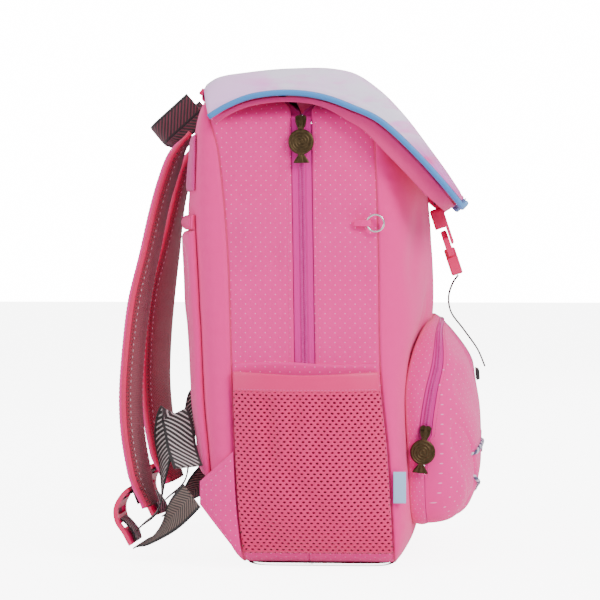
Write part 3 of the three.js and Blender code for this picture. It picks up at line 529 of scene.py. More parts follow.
def lozenges(name, centre, heading, out, size, material):
    """Small rounded beads in one mesh: each has two rings of four corners and two tips, laid along its heading.
    size is the length, width and height."""
    length, width, height = size
    heading = heading / np.linalg.norm(heading, axis=-1, keepdims=True)
    out = out - heading * np.sum(heading * out, -1, keepdims=True)
    out = out / np.linalg.norm(out, axis=-1, keepdims=True)
    side = np.cross(heading, out)
    corners = []
    for reach, fullness in ((-0.5, 0.35), (-0.22, 1.0), (0.22, 1.0), (0.5, 0.35)):
        for turn in range(4):
            angle = math.pi * (0.25 + 0.5 * turn)
            sideways = side * math.cos(angle) * width * 0.7 * fullness
            upward = out * math.sin(angle) * height * 0.7 * fullness
            corners.append(centre + heading * reach * length + sideways + upward)
    points = np.stack(corners, 1)
    ring = np.array(
        [
            [
                4 * r + k, 4 * r + (k + 1) % 4, 4 * r + 4 + (k + 1) % 4, 4 * r + 4 + k
            ] for r in range(3) for k in range(4)
        ]
    )
    local = np.concatenate([ring, [[3, 2, 1, 0], [12, 13, 14, 15]]])
    faces = (local[None] + 16 * np.arange(len(centre))[:, None, None]).reshape(-1, 4)
    places = points.reshape(-1, 3)
    cloth = places[:, 1:] * 0.001
    return new_piece(name, places, faces, cloth, material, merge=False)


def stitch_path(path, out, pitch=3.4):
    """Evenly spaced places along a path, with the thread's heading and the way out of the cloth at each."""
    steps = np.linalg.norm(np.diff(path, axis=0), axis=1)
    length = np.concatenate([[0], np.cumsum(steps)])
    at = np.arange(pitch / 2, length[-1] - pitch / 2, pitch)
    centre = np.stack([np.interp(at, length, axis) for axis in path.T], -1)
    ahead = np.stack([np.interp(at + 0.4, length, axis) for axis in path.T], -1)
    normal = np.stack([np.interp(at, length, axis) for axis in np.broadcast_to(out, path.shape).T], -1)
    return centre, ahead - centre, normal


STITCH = (2.5, 0.5, 0.32)
thread_pink = cloth_material("pink_thread", rgb(255, 96, 180), rgb(240, 70, 158), pitch=0.0003, sheen=0.1)
seam_runs = []
for sign in (-1, 1):
    zip_z = np.linspace(172, 370, 80)
    for offset in (1, -1):
        edge_y = zip_line(zip_z) + offset * (mouth_half(zip_z) + 3.4)
        seam_runs.append(stitch_path(side_point(sign, edge_y, zip_z, -0.15), np.array([sign, 0, 0])))
    hem_y = np.linspace(-50, 58, 60)
    hem_z = 169.5 + 1.2 * np.sin(hem_y / 17)
    seam_runs.append(stitch_path(side_point(sign, hem_y, hem_z, 0.2), np.array([sign, 0, 0])))
wall_stitches = lozenges(
    "wall_topstitching", *(np.concatenate(part) for part in zip(*seam_runs)), STITCH, thread_pink
)
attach(wall_stitches, "bag")


# ---------------------------------------------------------------- back and front panels
# Padded panels of smooth polyester, domed by the foam and the load behind them and sewn to the side walls all
# round. The seam draws them in to a fine valley with small puckers.
REAR_ROUNDNESS = 3
FRONT_ROUNDNESS = 2.2
rear_depth = through([
    [BODY_BOTTOM, 0], [9, 9], [20, 16], [48, 26], [70, 31], [104, 34], [137, 37], [196, 38],
    [221, 39.5], [289, 39], [348, 28], [368, 18], [388, 7], [BODY_TOP, 0],
])
front_depth = through([
    [BODY_BOTTOM, 0], [9, 9], [22, 18], [40, 22], [105, 26], [139, 30], [172, 38], [203, 44],
    [231, 45], [305, 42], [331, 39], [362, 23], [386, 7], [BODY_TOP, 0],
])


def dome(share, power):
    """The rounded rise of a panel across its width: a superellipse from its middle (1) to its edge (0)."""
    return (1 - np.minimum(1, np.abs(share)) ** power) ** (1 / power)


def rear_point(share, z, inset):
    """A place on the back panel at a share of its half width, moved into the body by the inset."""
    depth = np.maximum(0, rear_depth(z) - inset) * dome(share, REAR_ROUNDNESS)
    return np.stack(
        np.broadcast_arrays(share * (half_width(z) - inset), rear_seam(z) + SEAM_GAP + depth, z), -1
    )


def front_point(share, z, inset):
    """The same on the front panel."""
    depth = np.maximum(0, front_depth(z) - inset) * dome(share, FRONT_ROUNDNESS)
    return np.stack(
        np.broadcast_arrays(share * (half_width(z) - inset), front_seam(z) - SEAM_GAP - depth, z), -1
    )


def bunch(share):
    """Shares that crowd towards both ends: half of one less the cosine."""
    return 0.5 - 0.5 * np.cos(np.pi * share)


def panel(name, point_at, folds, material):
    """A domed panel whose folds press inwards, with puckers a few millimetres long along its sewn edge."""
    across, up = np.meshgrid(
        bunch(np.linspace(0, 1, 121)) * 2 - 1, bunch(np.linspace(0, 1, 161)), indexing="ij"
    )
    z = BODY_BOTTOM + (BODY_TOP - 0.05 - BODY_BOTTOM) * up
    x = across * half_width(z)
    edge = half_width(z) * (1 - np.abs(across))
    free = smooth(edge, 2, 26) * smooth(z, 12, 50) * (1 - smooth(z, 370, 392))
    pucker = 0.35 * np.sin(z / 2.1) * np.exp(-(((edge - 4) / 4) ** 2))
    outer = point_at(across, z, -folds(x, z) * free - pucker)
    inner_z = BODY_BOTTOM + WALL + (BODY_TOP - 0.05 - BODY_BOTTOM - 2 * WALL) * up
    inner = point_at(across, inner_z, WALL)
    cloth = np.stack([x, z], -1) * 0.001
    return shell(name, outer, inner, cloth, material)


def front_folds(x, z):
    """Folds of the slack front panel above and beside the pocket."""
    folds = crease(x, z, (-118, 168), (-60, 232), 14, -2.2) + crease(x, z, (120, 176), (64, 240), 14, -2.0)
    folds = folds + crease(
        x, z, (-126, 236), (-88, 300), 12, -1.4
    ) + crease(x, z, (128, 240), (84, 306), 12, -1.4)
    return np.minimum(1.5 * folds + 1.1 * ripple(x, z, 21, 110, 40), 1.2)


def back_folds(x, z):
    """The back panel is flatter: it only ripples a little."""
    return np.minimum(0.5 * ripple(x, z, 22, 120, 50), 0.6)


satin_pink = cloth_material(
    "smooth_polyester", rgb(255, 8, 152), rgb(250, 4, 138), pitch=0.00045, relief=0.00006
)
front_wall_panel = panel("front_wall_panel", front_point, front_folds, satin_pink)
back_wall_panel = panel("back_wall_panel", rear_point, back_folds, satin_pink)
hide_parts("front_panel")
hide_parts("back_panel")
for piece in (front_wall_panel, back_wall_panel):
    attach(piece, "bag")

# A thin cord of cloth is rolled into both seams, which shows as a fine raised line between wall and panel.
seam_cloth = cloth_material("seam_binding", rgb(232, 32, 118), rgb(214, 22, 102), pitch=0.0005)


def round_bar(name, path, radius, material, sides=10):
    """A closed round bar along a path: rings square to it, turned as little as possible from one to the next."""
    heading = np.gradient(path, axis=0)
    heading = heading / np.linalg.norm(heading, axis=1, keepdims=True)
    side = np.empty_like(path)
    guess = np.cross(heading[0], [0.31, 0.24, 0.92])
    for k, ahead in enumerate(heading):
        guess = guess - ahead * (guess @ ahead)
        guess = guess / np.linalg.norm(guess)
        side[k] = guess
    up = np.cross(heading, side)
    angle = np.linspace(0, 2 * np.pi, sides + 1)
    thick = np.broadcast_to(radius, len(path))[:, None, None]
    rings = path[:, None] + thick * (
        side[:, None] * np.cos(angle)[None, :, None] + up[:, None] * np.sin(angle)[None, :, None]
    )
    ends = np.stack([np.broadcast_to(path[k], rings[0].shape) for k in (0, -1)])
    rings = np.concatenate([ends[:1], rings, ends[1:]])
    length = np.concatenate([[0], np.cumsum(np.linalg.norm(np.diff(path, axis=0), axis=1))])
    length = np.concatenate([length[:1], length, length[-1:]])
    girth = np.broadcast_to(angle[None] * np.mean(radius), rings.shape[:2])
    cloth = np.stack([girth, np.broadcast_to(length[:, None], rings.shape[:2])], -1) * 0.001
    return new_piece(name, rings, grid_faces(*rings.shape[:2]), cloth, material)


seam_share = np.linspace(0.006, 0.994, 420)
seam_arch, seam_heading = along(whole_outline, seam_share)
for label, seam in (("rear_seam_binding", rear_seam), ("front_seam_binding", front_seam)):
    line = np.stack([seam_arch[:, 0], seam(seam_arch[:, 1]), seam_arch[:, 1]], -1)
    line[:, 0] += seam_heading[:, 1] * 0.7
    line[:, 2] -= seam_heading[:, 0] * 0.7
    binding = round_bar(label, line, 0.75, seam_cloth, sides=6)
    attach(binding, "bag")


# ---------------------------------------------------------------- back padding
# Three layers on the back panel: a pad of open spacer net at the top, a ribbed grosgrain band across, and a large
# quilted pad of smooth polyester below with a stitched outline, which rests against the wearer.
def build_net_bump():
    """Small staggered holes: the same lattice as the dots, stretched, as a mask of holes and a height of threads."""
    group, given, result = node_group(
        "spacer_net",
        [
            ("Cloth", "NodeSocketVector", None), ("Pitch", "NodeSocketFloat", 0.003),
            ("Hole", "NodeSocketFloat", 0.2)
        ],
        [("Hole Mask", "NodeSocketFloat"), ("Height", "NodeSocketFloat")],
    )
    dots = add(group, "ShaderNodeGroup", node_tree=dots_group)
    for label, source in (("Cloth", "Cloth"), ("Pitch", "Pitch"), ("Radius", "Hole")):
        group.links.new(given.outputs[source], dots.inputs[label])
    group.links.new(dots.outputs["Mask"], result.inputs["Hole Mask"])
    group.links.new(math_of(group, "SUBTRACT", 1.0, dots.outputs["Mask"]), result.inputs["Height"])
    return group


net_group = build_net_bump()


def net_material(name, thread, hole, pitch, size, relief=0.0006):
    """Spacer net: bright threads round holes that sink into the bump, with painted shade darkening the holes."""
    material, tree, principled = shader(name, 0.68, 0.3)
    cloth = add(tree, "ShaderNodeUVMap", uv_map="cloth").outputs[0]
    net = add(tree, "ShaderNodeGroup", node_tree=net_group)
    tree.links.new(cloth, net.inputs["Cloth"])
    net.inputs["Pitch"].default_value = pitch
    net.inputs["Hole"].default_value = size
    weave = add(tree, "ShaderNodeGroup", node_tree=weave_group)
    tree.links.new(cloth, weave.inputs["Cloth"])
    weave.inputs["Pitch"].default_value = 0.0004
    dyed = mixed(tree, weave.outputs["Dye"], tuple(0.82 * c for c in thread[:3]) + (1,), thread)
    # The holes take the darker hole colour: painted shade in the net's recesses.
    tree.links.new(mixed(tree, net.outputs["Hole Mask"], dyed, hole), principled.inputs["Base Color"])
    bump = tree.nodes.new("ShaderNodeBump")
    bump.inputs["Distance"].default_value = relief
    tree.links.new(net.outputs["Height"], bump.inputs["Height"])
    tree.links.new(bump.outputs[0], principled.inputs["Normal"])
    return material


def back_layer(name, low, high, reach, thickness, material, quilt=None, rows=60, columns=80):
    """A pad on the back panel: it rises from its edges in a rounded roll, and quilt adds its channels."""
    across, up = np.meshgrid(np.linspace(-1, 1, columns), np.linspace(0, 1, rows), indexing="ij")
    share = reach * np.sin(across * math.pi / 2)
    z = low + (high - low) * up
    x = share * half_width(z)
    edge = np.minimum(half_width(z) * (reach - np.abs(share)), np.minimum(z - low, high - z))
    roll = np.sqrt(1 - (1 - np.clip(edge / 7, 0, 1)) ** 2)
    lift = 1.4 + (thickness - 1.4) * roll
    if quilt:
        lift = lift + quilt(x, z) * roll
    cloth = np.stack([x, z], -1) * 0.001
    return shell(name, rear_point(share, z, -lift), rear_point(share, z, -0.9), cloth, material)


def ribbed_cloth(name, colour, groove, pitch, relief=0.0004, slope=0.0):
    """Grosgrain: a sine of the place along the cloth gives rounded ribs, with painted shade darkening the grooves
    between them.
    """
    material, tree, principled = shader(name, 0.6, 0.2)
    cloth = add(tree, "ShaderNodeSeparateXYZ", add(tree, "ShaderNodeUVMap", uv_map="cloth").outputs[0])
    place = math_of(tree, "MULTIPLY_ADD", cloth.outputs[1], slope, cloth.outputs[0])
    rib = math_of(tree, "SINE", math_of(tree, "MULTIPLY", place, 2 * math.pi / pitch))
    height = math_of(tree, "MULTIPLY_ADD", rib, 0.5, 0.5)
    # The groove colour is painted shade in the valleys between the ribs.
    tree.links.new(mixed(tree, height, groove, colour), principled.inputs["Base Color"])
    bump = tree.nodes.new("ShaderNodeBump")
    bump.inputs["Distance"].default_value = relief
    tree.links.new(height, bump.inputs["Height"])
    tree.links.new(bump.outputs[0], principled.inputs["Normal"])
    return material


def quilting(x, z):
    """Sewn channels of the lower pad: a line down the middle, and rounded lobes beside it."""
    line = np.exp(-((x / 3.0) ** 2)) + np.exp(-(((np.abs(x) - 62 - 8 * np.sin(z / 34)) / 2.6) ** 2))
    return 0.6 * ripple(x, z, 31, 90, 40) - 2.2 * line


# The net's second colour is painted shade for its holes.
top_net = net_material("upper_spacer_net", rgb(255, 4, 168), rgb(190, 0, 104), 0.0021, 0.2, 0.0004)
# Its second colour is painted shade between the ribs.
grosgrain = ribbed_cloth("grosgrain_band", rgb(255, 4, 148), rgb(224, 0, 110), 0.0021)
upper_pad = back_layer("upper_net_pad", 313, 360, 0.9, 3.2, top_net)
rib_band = back_layer("ribbed_back_band", 280.5, 293, 0.9, 6.2, grosgrain)
lower_pad = back_layer("lower_quilted_pad", 74, 280, 0.9, 6.0, satin_pink, quilting, rows=170, columns=130)
for piece, node, slot_name, fill in (
    (upper_pad, "upper_back_pad", "hot_pink", 0.4),
    (rib_band, "back_band", "hot_pink", 0.3),
    (lower_pad, "lower_back_pad", "satin_pink", 0.6),
):
    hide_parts(node)
    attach(piece, "bag")

thread_white = cloth_material(
    "white_thread", rgb(250, 236, 244), rgb(235, 215, 228), pitch=0.0003, sheen=0.1
)
turn = np.linspace(0, 2 * np.pi, 120)
pad_runs = []
for sign in (-1, 1):
    outline_x = sign * (100 + (13 + 4 * np.sin(2 * turn)) * np.cos(turn))
    outline_z = 236 + 32 * np.sin(turn)
    lifted = rear_point(
        outline_x / half_width(outline_z), outline_z,
        -6.0 - 0.6 * ripple(outline_x, outline_z, 31, 90, 40)
    )
    pad_runs.append(stitch_path(lifted, np.array([0, 1.0, 0]), pitch=3.0))
for sign in (-1, 1):
    band_x = np.linspace(-118, 118, 120)
    edge_z = np.full_like(band_x, 286.8 + sign * 4.6)
    pad_runs.append(
        stitch_path(rear_point(band_x / half_width(edge_z), edge_z, -6.3), np.array([0, 1.0, 0]), pitch=3.0)
    )
pad_stitches = lozenges(
    "pad_stitching", *(np.concatenate(part) for part in zip(*pad_runs[:2])), (2.0, 0.45, 0.3), thread_white
)
band_stitches = lozenges(
    "band_stitching", *(np.concatenate(part) for part in zip(*pad_runs[2:])), (2.0, 0.45, 0.3), thread_pink
)
for piece in (pad_stitches, band_stitches):
    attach(piece, "bag")


# ---------------------------------------------------------------- main zip
# A coil zip from above each side pocket up to the sliders, and the two parted tapes that go on over the top. The
# coil shows as two rows of slanting teeth on a woven tape.
tape_cloth = cloth_material(
    "zip_tape", rgb(236, 4, 160), rgb(212, 0, 138), pitch=0.0006, relief=0.0001, sheen=0.15
)
tooth_plastic, tooth_tree, tooth_shader = shader("zip_coil_nylon", 0.38)
tooth_noise = add(
    tooth_tree, "ShaderNodeTexNoise", add(tooth_tree, "ShaderNodeTexCoord").outputs["Object"], None, 300.0
)
tooth_tree.links.new(
    mixed(
        tooth_tree, tooth_noise.outputs[0], rgb(196, 18, 130), rgb(236, 54, 172)
    ), tooth_shader.inputs["Base Color"]
)
TOOTH_PITCH = 1.45


def coil(name, path, out, spread=1.35, rise=0.35):
    """Two rows of slanting teeth beside a path, leaning in towards each other like a braid."""
    centre, heading, normal = stitch_path(path, out, TOOTH_PITCH)
    heading = heading / np.linalg.norm(heading, axis=1, keepdims=True)
    side = np.cross(heading, normal)
    parts = [
        (centre + sign * spread * side + rise * normal, side * sign + heading * 0.5, normal) for sign in (-1, 1)
    ]
    return lozenges(name, *(np.concatenate(part) for part in zip(*parts)), (2.9, 1.05, 0.9), tooth_plastic)


def tape(name, pointer, rows, across, thickness=1.5, material=tape_cloth):
    """A woven tape: pointer gives the place at a distance across it, a share along it and a lift off its face."""
    side, share = np.meshgrid(across, np.linspace(0, 1, rows), indexing="ij")
    ridge = 0.25 * np.exp(-((np.abs(np.abs(side) - 4.2) / 0.5) ** 2))
    outer, inner = pointer(side, share, ridge), pointer(side, share, -thickness + 0 * side)
    length = np.linalg.norm(outer[0, 1:] - outer[0, :-1], axis=-1).sum()
    return shell(name, outer, inner, np.stack([side, share * length], -1) * 0.001, material)


for label, sign in (("left", -1), ("right", 1)):
    def zip_place(side, share, lift, sign=sign):
        z = ZIP_FOOT + (ZIP_HEAD - ZIP_FOOT) * share
        return side_point(sign, zip_line(z) + side, z, lift - 0.7)

    zip_tape = tape(f"zip_tape_{label}", zip_place, 90, np.linspace(-8.25, 8.25, 34))
    chain_z = np.linspace(ZIP_FOOT + 1, ZIP_HEAD - 3, 120)
    chain = coil(
        f"zip_coil_{label}", side_point(sign, zip_line(chain_z), chain_z, -0.6), np.array([sign, 0, 0])
    )
    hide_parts(f"main_zip_{label}")
    for piece in (zip_tape, chain):
        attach(piece, "bag")

MOUTH_START = 0.366
for label, side in (("rear", 1), ("front", -1)):
    share, across = np.meshgrid(
        np.linspace(MOUTH_START, 1 - MOUTH_START, 140), np.linspace(0, 1, 9), indexing="ij"
    )
    arch, heading = along(whole_outline, share)
    z = arch[..., 1]
    y = zip_line(z) + side * (mouth_half(z) - 7.5 + 9.5 * across)
    normal = np.stack([heading[..., 1], np.zeros_like(z), -heading[..., 0]], -1)
    base = np.stack([arch[..., 0], y, z], -1)
    level = bulge(y, z) - 3 - 1.6
    cloth = np.stack([y, share * 1090], -1) * 0.001
    lip = shell(
        f"mouth_tape_{label}", base - normal * level[..., None], base - normal * (level - 1.2)[..., None], cloth, tape_cloth
    )
    edge = np.stack(
        [arch[:, 0, 0], zip_line(z[:, 0]) + side * (mouth_half(z[:, 0]) - 6.9), z[:, 0]], -1
    ) - normal[:, 0] * level[:, :1]
    teeth_at, teeth_heading, teeth_out = stitch_path(edge, -normal[:, 0], TOOTH_PITCH)
    teeth = lozenges(
        f"mouth_coil_{label}", teeth_at, np.cross(teeth_heading, teeth_out), teeth_out, (2.4, 1.0, 0.9),
        tooth_plastic
    )
    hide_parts(f"mouth_lip_{label}")
    for piece in (lip, teeth):
        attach(piece, "bag")


# ---------------------------------------------------------------- net side pockets
# Each side pocket is a sheet of thick knitted net with small oval holes, gathered below a folded elastic band and
# sewn into both seams and the bottom. A second layer of the knit shows through the holes, dyed darker as painted shade.
SIDE_POCKET_TOP = 164
SIDE_POCKET_BAND = 16
STANDOFF = 10


def pocket_lift(y, z):
    """How far the pocket stands off the wall: a flat-topped arch across, growing from the bottom seam."""
    across = (rear_seam(z) - y) / (rear_seam(z) - front_seam(z))
    return 1.2 + STANDOFF * (1 - np.abs(2 * across - 1) ** 3) * smooth(z, 10, 60)


def net_folds(y, z):
    """Gathers falling from the band, and slack across the lower corners."""
    folds = crease(y, z, (36, 150), (30, 84), 7, -3.2) + crease(y, z, (10, 150), (18, 78), 6, -2.6)
    folds = folds + crease(y, z, (-14, 150), (-2, 92), 6, -2.2) + crease(y, z, (30, 92), (-16, 40), 9, -2.0)
    folds = folds + crease(y, z, (50, 60), (28, 22), 8, -1.8) + crease(y, z, (-34, 112), (-44, 50), 8, -1.6)
    folds = folds + crease(y, z, (22, 128), (22, 70), 7, 1.4)
    return 1.25 * folds + 0.8 * ripple(y, z, 41, 60, 24)


def net_place(sign, across, z, extra):
    """A place on the pocket, across its width from front (0) to rear (1), with its folds, plus an extra lift."""
    low, high = front_seam(z) + 1.5, rear_seam(z) - 1.5
    y = low + (high - low) * across
    edge = np.minimum(y - low, high - y)
    free = smooth(edge, 0, 12) * smooth(z, 14, 30) * (1 - smooth(z, 140, 149))
    return side_point(sign, y, z, pocket_lift(y, z) + net_folds(y, z) * free + extra)


def hole_lattice(columns, rows, hole):
    """Corners and quads of a net with staggered holes on a unit square. Each hexagonal cell has six corners shared
    with its neighbours, and six more round its hole, so six quads make the threads about it."""
    cells = [(c + 0.5 * (r % 2), r) for r in range(rows) for c in range(columns - r % 2)]
    middle = np.array(cells, float)
    hexagon = np.array(
        [(0, 2 / 3), (0.5, 1 / 3), (0.5, -1 / 3), (0, -2 / 3), (-0.5, -1 / 3), (-0.5, 1 / 3)]
    )
    angle = np.pi / 2 - np.arange(6) * np.pi / 3
    opening = hole * np.stack([0.5 * np.cos(angle), 0.62 * np.sin(angle)], -1)
    outer = middle[:, None] + hexagon
    inner = middle[:, None] + opening
    corners = np.concatenate([outer, inner], 1).reshape(-1, 2)
    local = np.array([[k, (k + 1) % 6, 6 + (k + 1) % 6, 6 + k] for k in range(6)])
    faces = (local[None] + 12 * np.arange(len(middle))[:, None, None]).reshape(-1, 4)
    return corners, faces


net_thread = cloth_material(
    "net_thread", rgb(250, 0, 122), rgb(232, 0, 104), pitch=0.0004, relief=0.0001, sheen=0.3
)
# The knit's second layer: its darker colour is painted shade of the pocket's inside, seen through the holes.
net_backing_painted_shade = cloth_material("net_second_layer_painted_shade", rgb(156, 0, 58), rgb(126, 0, 44), pitch=0.0005, sheen=0.1)
elastic_cloth = cloth_material(
    "pocket_elastic", rgb(248, 0, 124), rgb(232, 0, 108), pitch=0.0004, relief=0.00004, roughness=0.36
)
NET_COLUMNS, NET_ROWS = 25, 47
NET_TOP = SIDE_POCKET_TOP - SIDE_POCKET_BAND + 0.4
corners, cell_faces = hole_lattice(NET_COLUMNS, NET_ROWS, 0.52)
net_across = np.clip(corners[:, 0] / (NET_COLUMNS - 1), 0, 1)
net_up = np.clip(corners[:, 1] / (NET_ROWS - 1), 0, 1)

for label, sign in (("left", -1), ("right", 1)):
    z = 14 + (NET_TOP - 14) * net_up
    net = new_piece(
        f"pocket_net_{label}", net_place(sign, net_across, z, 1.5), cell_faces,
        np.stack([net_across * 0.125, z * 0.001], -1), net_thread,
    )
    thick = net.modifiers.new("knit", "SOLIDIFY")
    thick.thickness = 0.0009
    thick.offset = 0.0
    across, up = np.meshgrid(np.linspace(0, 1, 60), np.linspace(0, 1, 70), indexing="ij")
    z = 14 + (NET_TOP - 14) * up
    cloth = np.stack([across * 0.125, z * 0.001], -1)
    # The second layer behind the net, coloured darker as painted shade.
    layer = shell(
        f"pocket_net_painted_shade_layer_{label}", net_place(sign, across, z, 0.7), net_place(sign, across, z, 0.2), cloth, net_backing_painted_shade
    )
    across, up = np.meshgrid(np.linspace(0, 1, 80), np.linspace(0, 1, 15), indexing="ij")
    z = SIDE_POCKET_TOP - SIDE_POCKET_BAND + SIDE_POCKET_BAND * up
    sag = -2.2 * np.sin(np.pi * across) ** 2 * up
    fold = 0.9 * np.sqrt(np.clip(1 - (2 * up - 1) ** 4, 0, 1))
    low, high = front_seam(z) + 1.5, rear_seam(z) - 1.5
    y = low + (high - low) * across
    outer = side_point(sign, y, z + sag, pocket_lift(y, z) + 1.5 + fold)
    inner = side_point(sign, y, z + sag, pocket_lift(y, z) + 0.2)
    band = shell(
        f"pocket_band_{label}", outer, inner, cloth=np.stack([y, z], -1) * 0.001, material=elastic_cloth
    )
    stitch_y = np.linspace(front_seam(150.0) + 4, rear_seam(150.0) - 4, 60)
    stitch_z = np.full_like(stitch_y, SIDE_POCKET_TOP - SIDE_POCKET_BAND + 2.0)
    row = stitch_path(
        side_point(sign, stitch_y, stitch_z, pocket_lift(stitch_y, stitch_z) + 2.25),
        np.array([sign, 0, 0]), 2.8
    )
    band_thread = lozenges(f"pocket_band_stitching_{label}", *row, (2.0, 0.45, 0.3), thread_pink)
    hem_y = np.linspace(front_seam(168.0) + 2, rear_seam(168.0) - 2, 80)[:, None]
    hem_up = np.linspace(0, 1, 9)[None]
    hem_z = 152 + 19 * hem_up + 1.2 * np.sin(hem_y / 17)
    hem_out = side_point(sign, hem_y + 0 * hem_up, hem_z, 0.75 + 0.25 * np.sin(np.pi * hem_up))
    hem_in = side_point(sign, hem_y + 0 * hem_up, hem_z, 0.05)
    hem_cloth = np.stack(np.broadcast_arrays(hem_y, hem_z), -1) * 0.001
    hem = shell(f"pocket_back_hem_{label}", hem_out, hem_in, hem_cloth, dotted_pink)
    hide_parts(f"side_pocket_{label}")
    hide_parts(f"side_pocket_band_{label}")
    for piece in (net, layer, band, band_thread, hem):
        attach(piece, "bag")


# ---------------------------------------------------------------- strap wings
# A triangle of dotted cloth, folded double and quilted with two rows of stitches, is sewn into each rear seam. The
# lower webbing and its folded tail are caught in its tip.
WING_TIP = {"x": 133, "y": 92, "low": 53, "high": 72}


def wing_place(sign, out, up, lift):
    """A place on a wing: out runs from the seam (0) to the tip (1), up from its lower to its upper edge."""
    seam_z = 10 + 88 * up
    z = seam_z + (WING_TIP["low"] + (WING_TIP["high"] - WING_TIP["low"]) * up - seam_z) * out
    x = half_width(np.maximum(z, 36)) + 0.8
    x = x + (WING_TIP["x"] - x) * out * out + lift
    return np.stack(
        [sign * x, rear_seam(seam_z) + 0.6 + (WING_TIP["y"] - rear_seam(seam_z) - 0.6) * out, z], -1
    )


for label, sign in (("left", -1), ("right", 1)):
    out, up = np.meshgrid(np.linspace(0, 1, 34), np.linspace(0, 1, 40), indexing="ij")
    edge = np.minimum(np.minimum(up, 1 - up) * (88 - 69 * out), 30)
    puff = 0.9 * np.sqrt(1 - (1 - np.clip(edge / 4, 0, 1)) ** 2) - 0.5 * np.exp(-(((edge - 5) / 0.9) ** 2))
    puff = puff + 0.4 * ripple(out * 34, up * 60, 51 + sign, 40, 16)
    outer = wing_place(sign, out, up, 2.1 + puff)
    inner = wing_place(sign, out, up, 0.2)
    cloth = np.stack([outer[..., 1], outer[..., 2]], -1) * 0.001
    wing = shell(f"strap_wing_{label}", outer, inner, cloth, dotted_pink)
    runs = []
    for row_up in (0.09, 0.9):
        row_out = np.linspace(0.04, 0.9, 40)
        runs.append(
            stitch_path(wing_place(sign, row_out, row_up + 0 * row_out, 2.7), np.array([sign, 0, 0]), 3.0)
        )
    cross_up = np.linspace(0.12, 0.88, 30)
    for cross_out in (0.62, 0.82):
        runs.append(
            stitch_path(
                wing_place(sign, cross_out + 0 * cross_up, cross_up, 3.0), np.array([sign, 0, 0]), 3.0
            )
        )
    sewing = lozenges(
        f"wing_stitching_{label}", *(np.concatenate(part) for part in zip(*runs)), (2.2, 0.45, 0.3),
        thread_pink
    )
    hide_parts(f"wing_{label}")
    for piece in (wing, sewing):
        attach(piece, "bag")


# ---------------------------------------------------------------- side ring and label
# A bright wire D-ring hangs in a folded tab of polyester sewn beside the front seam. A blank woven label is caught
# in the same seam near the base.
def closed_bar(name, path, radius, material, sides=12):
    """A round bar bent into a closed loop: each ring lies between the loop's heading and its inward direction."""
    heading = np.roll(path, -1, 0) - np.roll(path, 1, 0)
    heading = heading / np.linalg.norm(heading, axis=1, keepdims=True)
    inward = path.mean(0) - path
    inward = inward - heading * np.sum(inward * heading, 1, keepdims=True)
    inward = inward / np.linalg.norm(inward, axis=1, keepdims=True)
    aside = np.cross(heading, inward)
    angle = np.linspace(0, 2 * np.pi, sides + 1)[None, :, None]
    rings = path[:, None] + radius * (inward[:, None] * np.cos(angle) + aside[:, None] * np.sin(angle))
    rings = np.concatenate([rings, rings[:1]])
    cloth = np.zeros(rings.shape[:2] + (2,))
    return new_piece(name, rings, grid_faces(*rings.shape[:2]), cloth, material)


def metal_material(name, colour, shade, roughness, scale=250.0, relief=0.00003):
    """Cast or drawn metal: its tone and gloss wander a little, and fine marks roughen it."""
    material, tree, principled = shader(name, roughness, metallic=1.0)
    place = add(tree, "ShaderNodeTexCoord").outputs["Object"]
    stain = add(tree, "ShaderNodeTexNoise", place, None, scale, 3.0)
    tree.links.new(mixed(tree, stain.outputs[0], shade, colour), principled.inputs["Base Color"])
    tree.links.new(
        math_of(tree, "MULTIPLY_ADD", stain.outputs[0], 0.3, roughness - 0.1),
        principled.inputs["Roughness"]
    )
    bump = tree.nodes.new("ShaderNodeBump")
    bump.inputs["Distance"].default_value = relief
    tree.links.new(stain.outputs[0], bump.inputs["Height"])
    tree.links.new(bump.outputs[0], principled.inputs["Normal"])
    return material


bright_wire = metal_material("bright_wire", rgb(236, 236, 240), rgb(196, 196, 204), 0.2)
ring_low, ring_high = (np.array(corner) * 1000 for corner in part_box("side_ring"))
ring_middle = (ring_low + ring_high) / 2
WIRE = 0.85
angle = np.linspace(0, 2 * np.pi, 73)[:-1]
radius = (ring_high[2] - ring_low[2]) / 2 - WIRE
ring_y = np.minimum(radius * np.cos(angle), radius - 0.2)
ring_path = np.stack(
    [np.full_like(angle, ring_middle[0]), ring_middle[1] + ring_y, ring_middle[2] + radius * np.sin(angle)],
    -1
)
wire_ring = closed_bar("wire_ring", ring_path, WIRE, bright_wire)
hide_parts("side_ring")
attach(wire_ring, "side_ring")

tab_low, tab_high = (np.array(corner) * 1000 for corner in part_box("ring_tab"))
tab_run = rounded_run([
    [(tab_high[0] - 0.2, tab_high[1])], [(tab_high[0] - 0.2, tab_low[1] + 2.6)],
    [(tab_high[0] - 0.4, tab_low[1] + 0.5), (ring_middle[0], tab_low[1] + 0.4)],
    [(tab_low[0] + 0.2, tab_low[1] + 0.5), (tab_low[0] + 0.4, tab_low[1] + 3.0)],
    [(tab_low[0] + 0.6, tab_high[1] - 6)], [(tab_high[0] - 1.3, tab_high[1])],
])
tab_line, tab_heading = along(tab_run, np.linspace(0, 1, 60))
tab_width = np.linspace(-2.6, 2.6, 9)
tab_middle_z = (tab_low[2] + tab_high[2]) / 2


def tab_skin(lift):
    """The folded tab: its line in plan, lifted to its left or right, spread over its width."""
    x = tab_line[:, 0] + tab_heading[:, 1] * lift
    y = tab_line[:, 1] - tab_heading[:, 0] * lift
    return np.stack(np.broadcast_arrays(x[:, None], y[:, None], tab_middle_z + tab_width[None]), -1)


tab_cloth = np.stack(np.broadcast_arrays(np.linspace(0, 0.03, 60)[:, None], tab_width[None] * 0.001), -1)
ring_loop = shell("ring_loop_tab", tab_skin(0.42), tab_skin(-0.42), tab_cloth, satin_pink)
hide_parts("ring_tab")
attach(ring_loop, "bag")

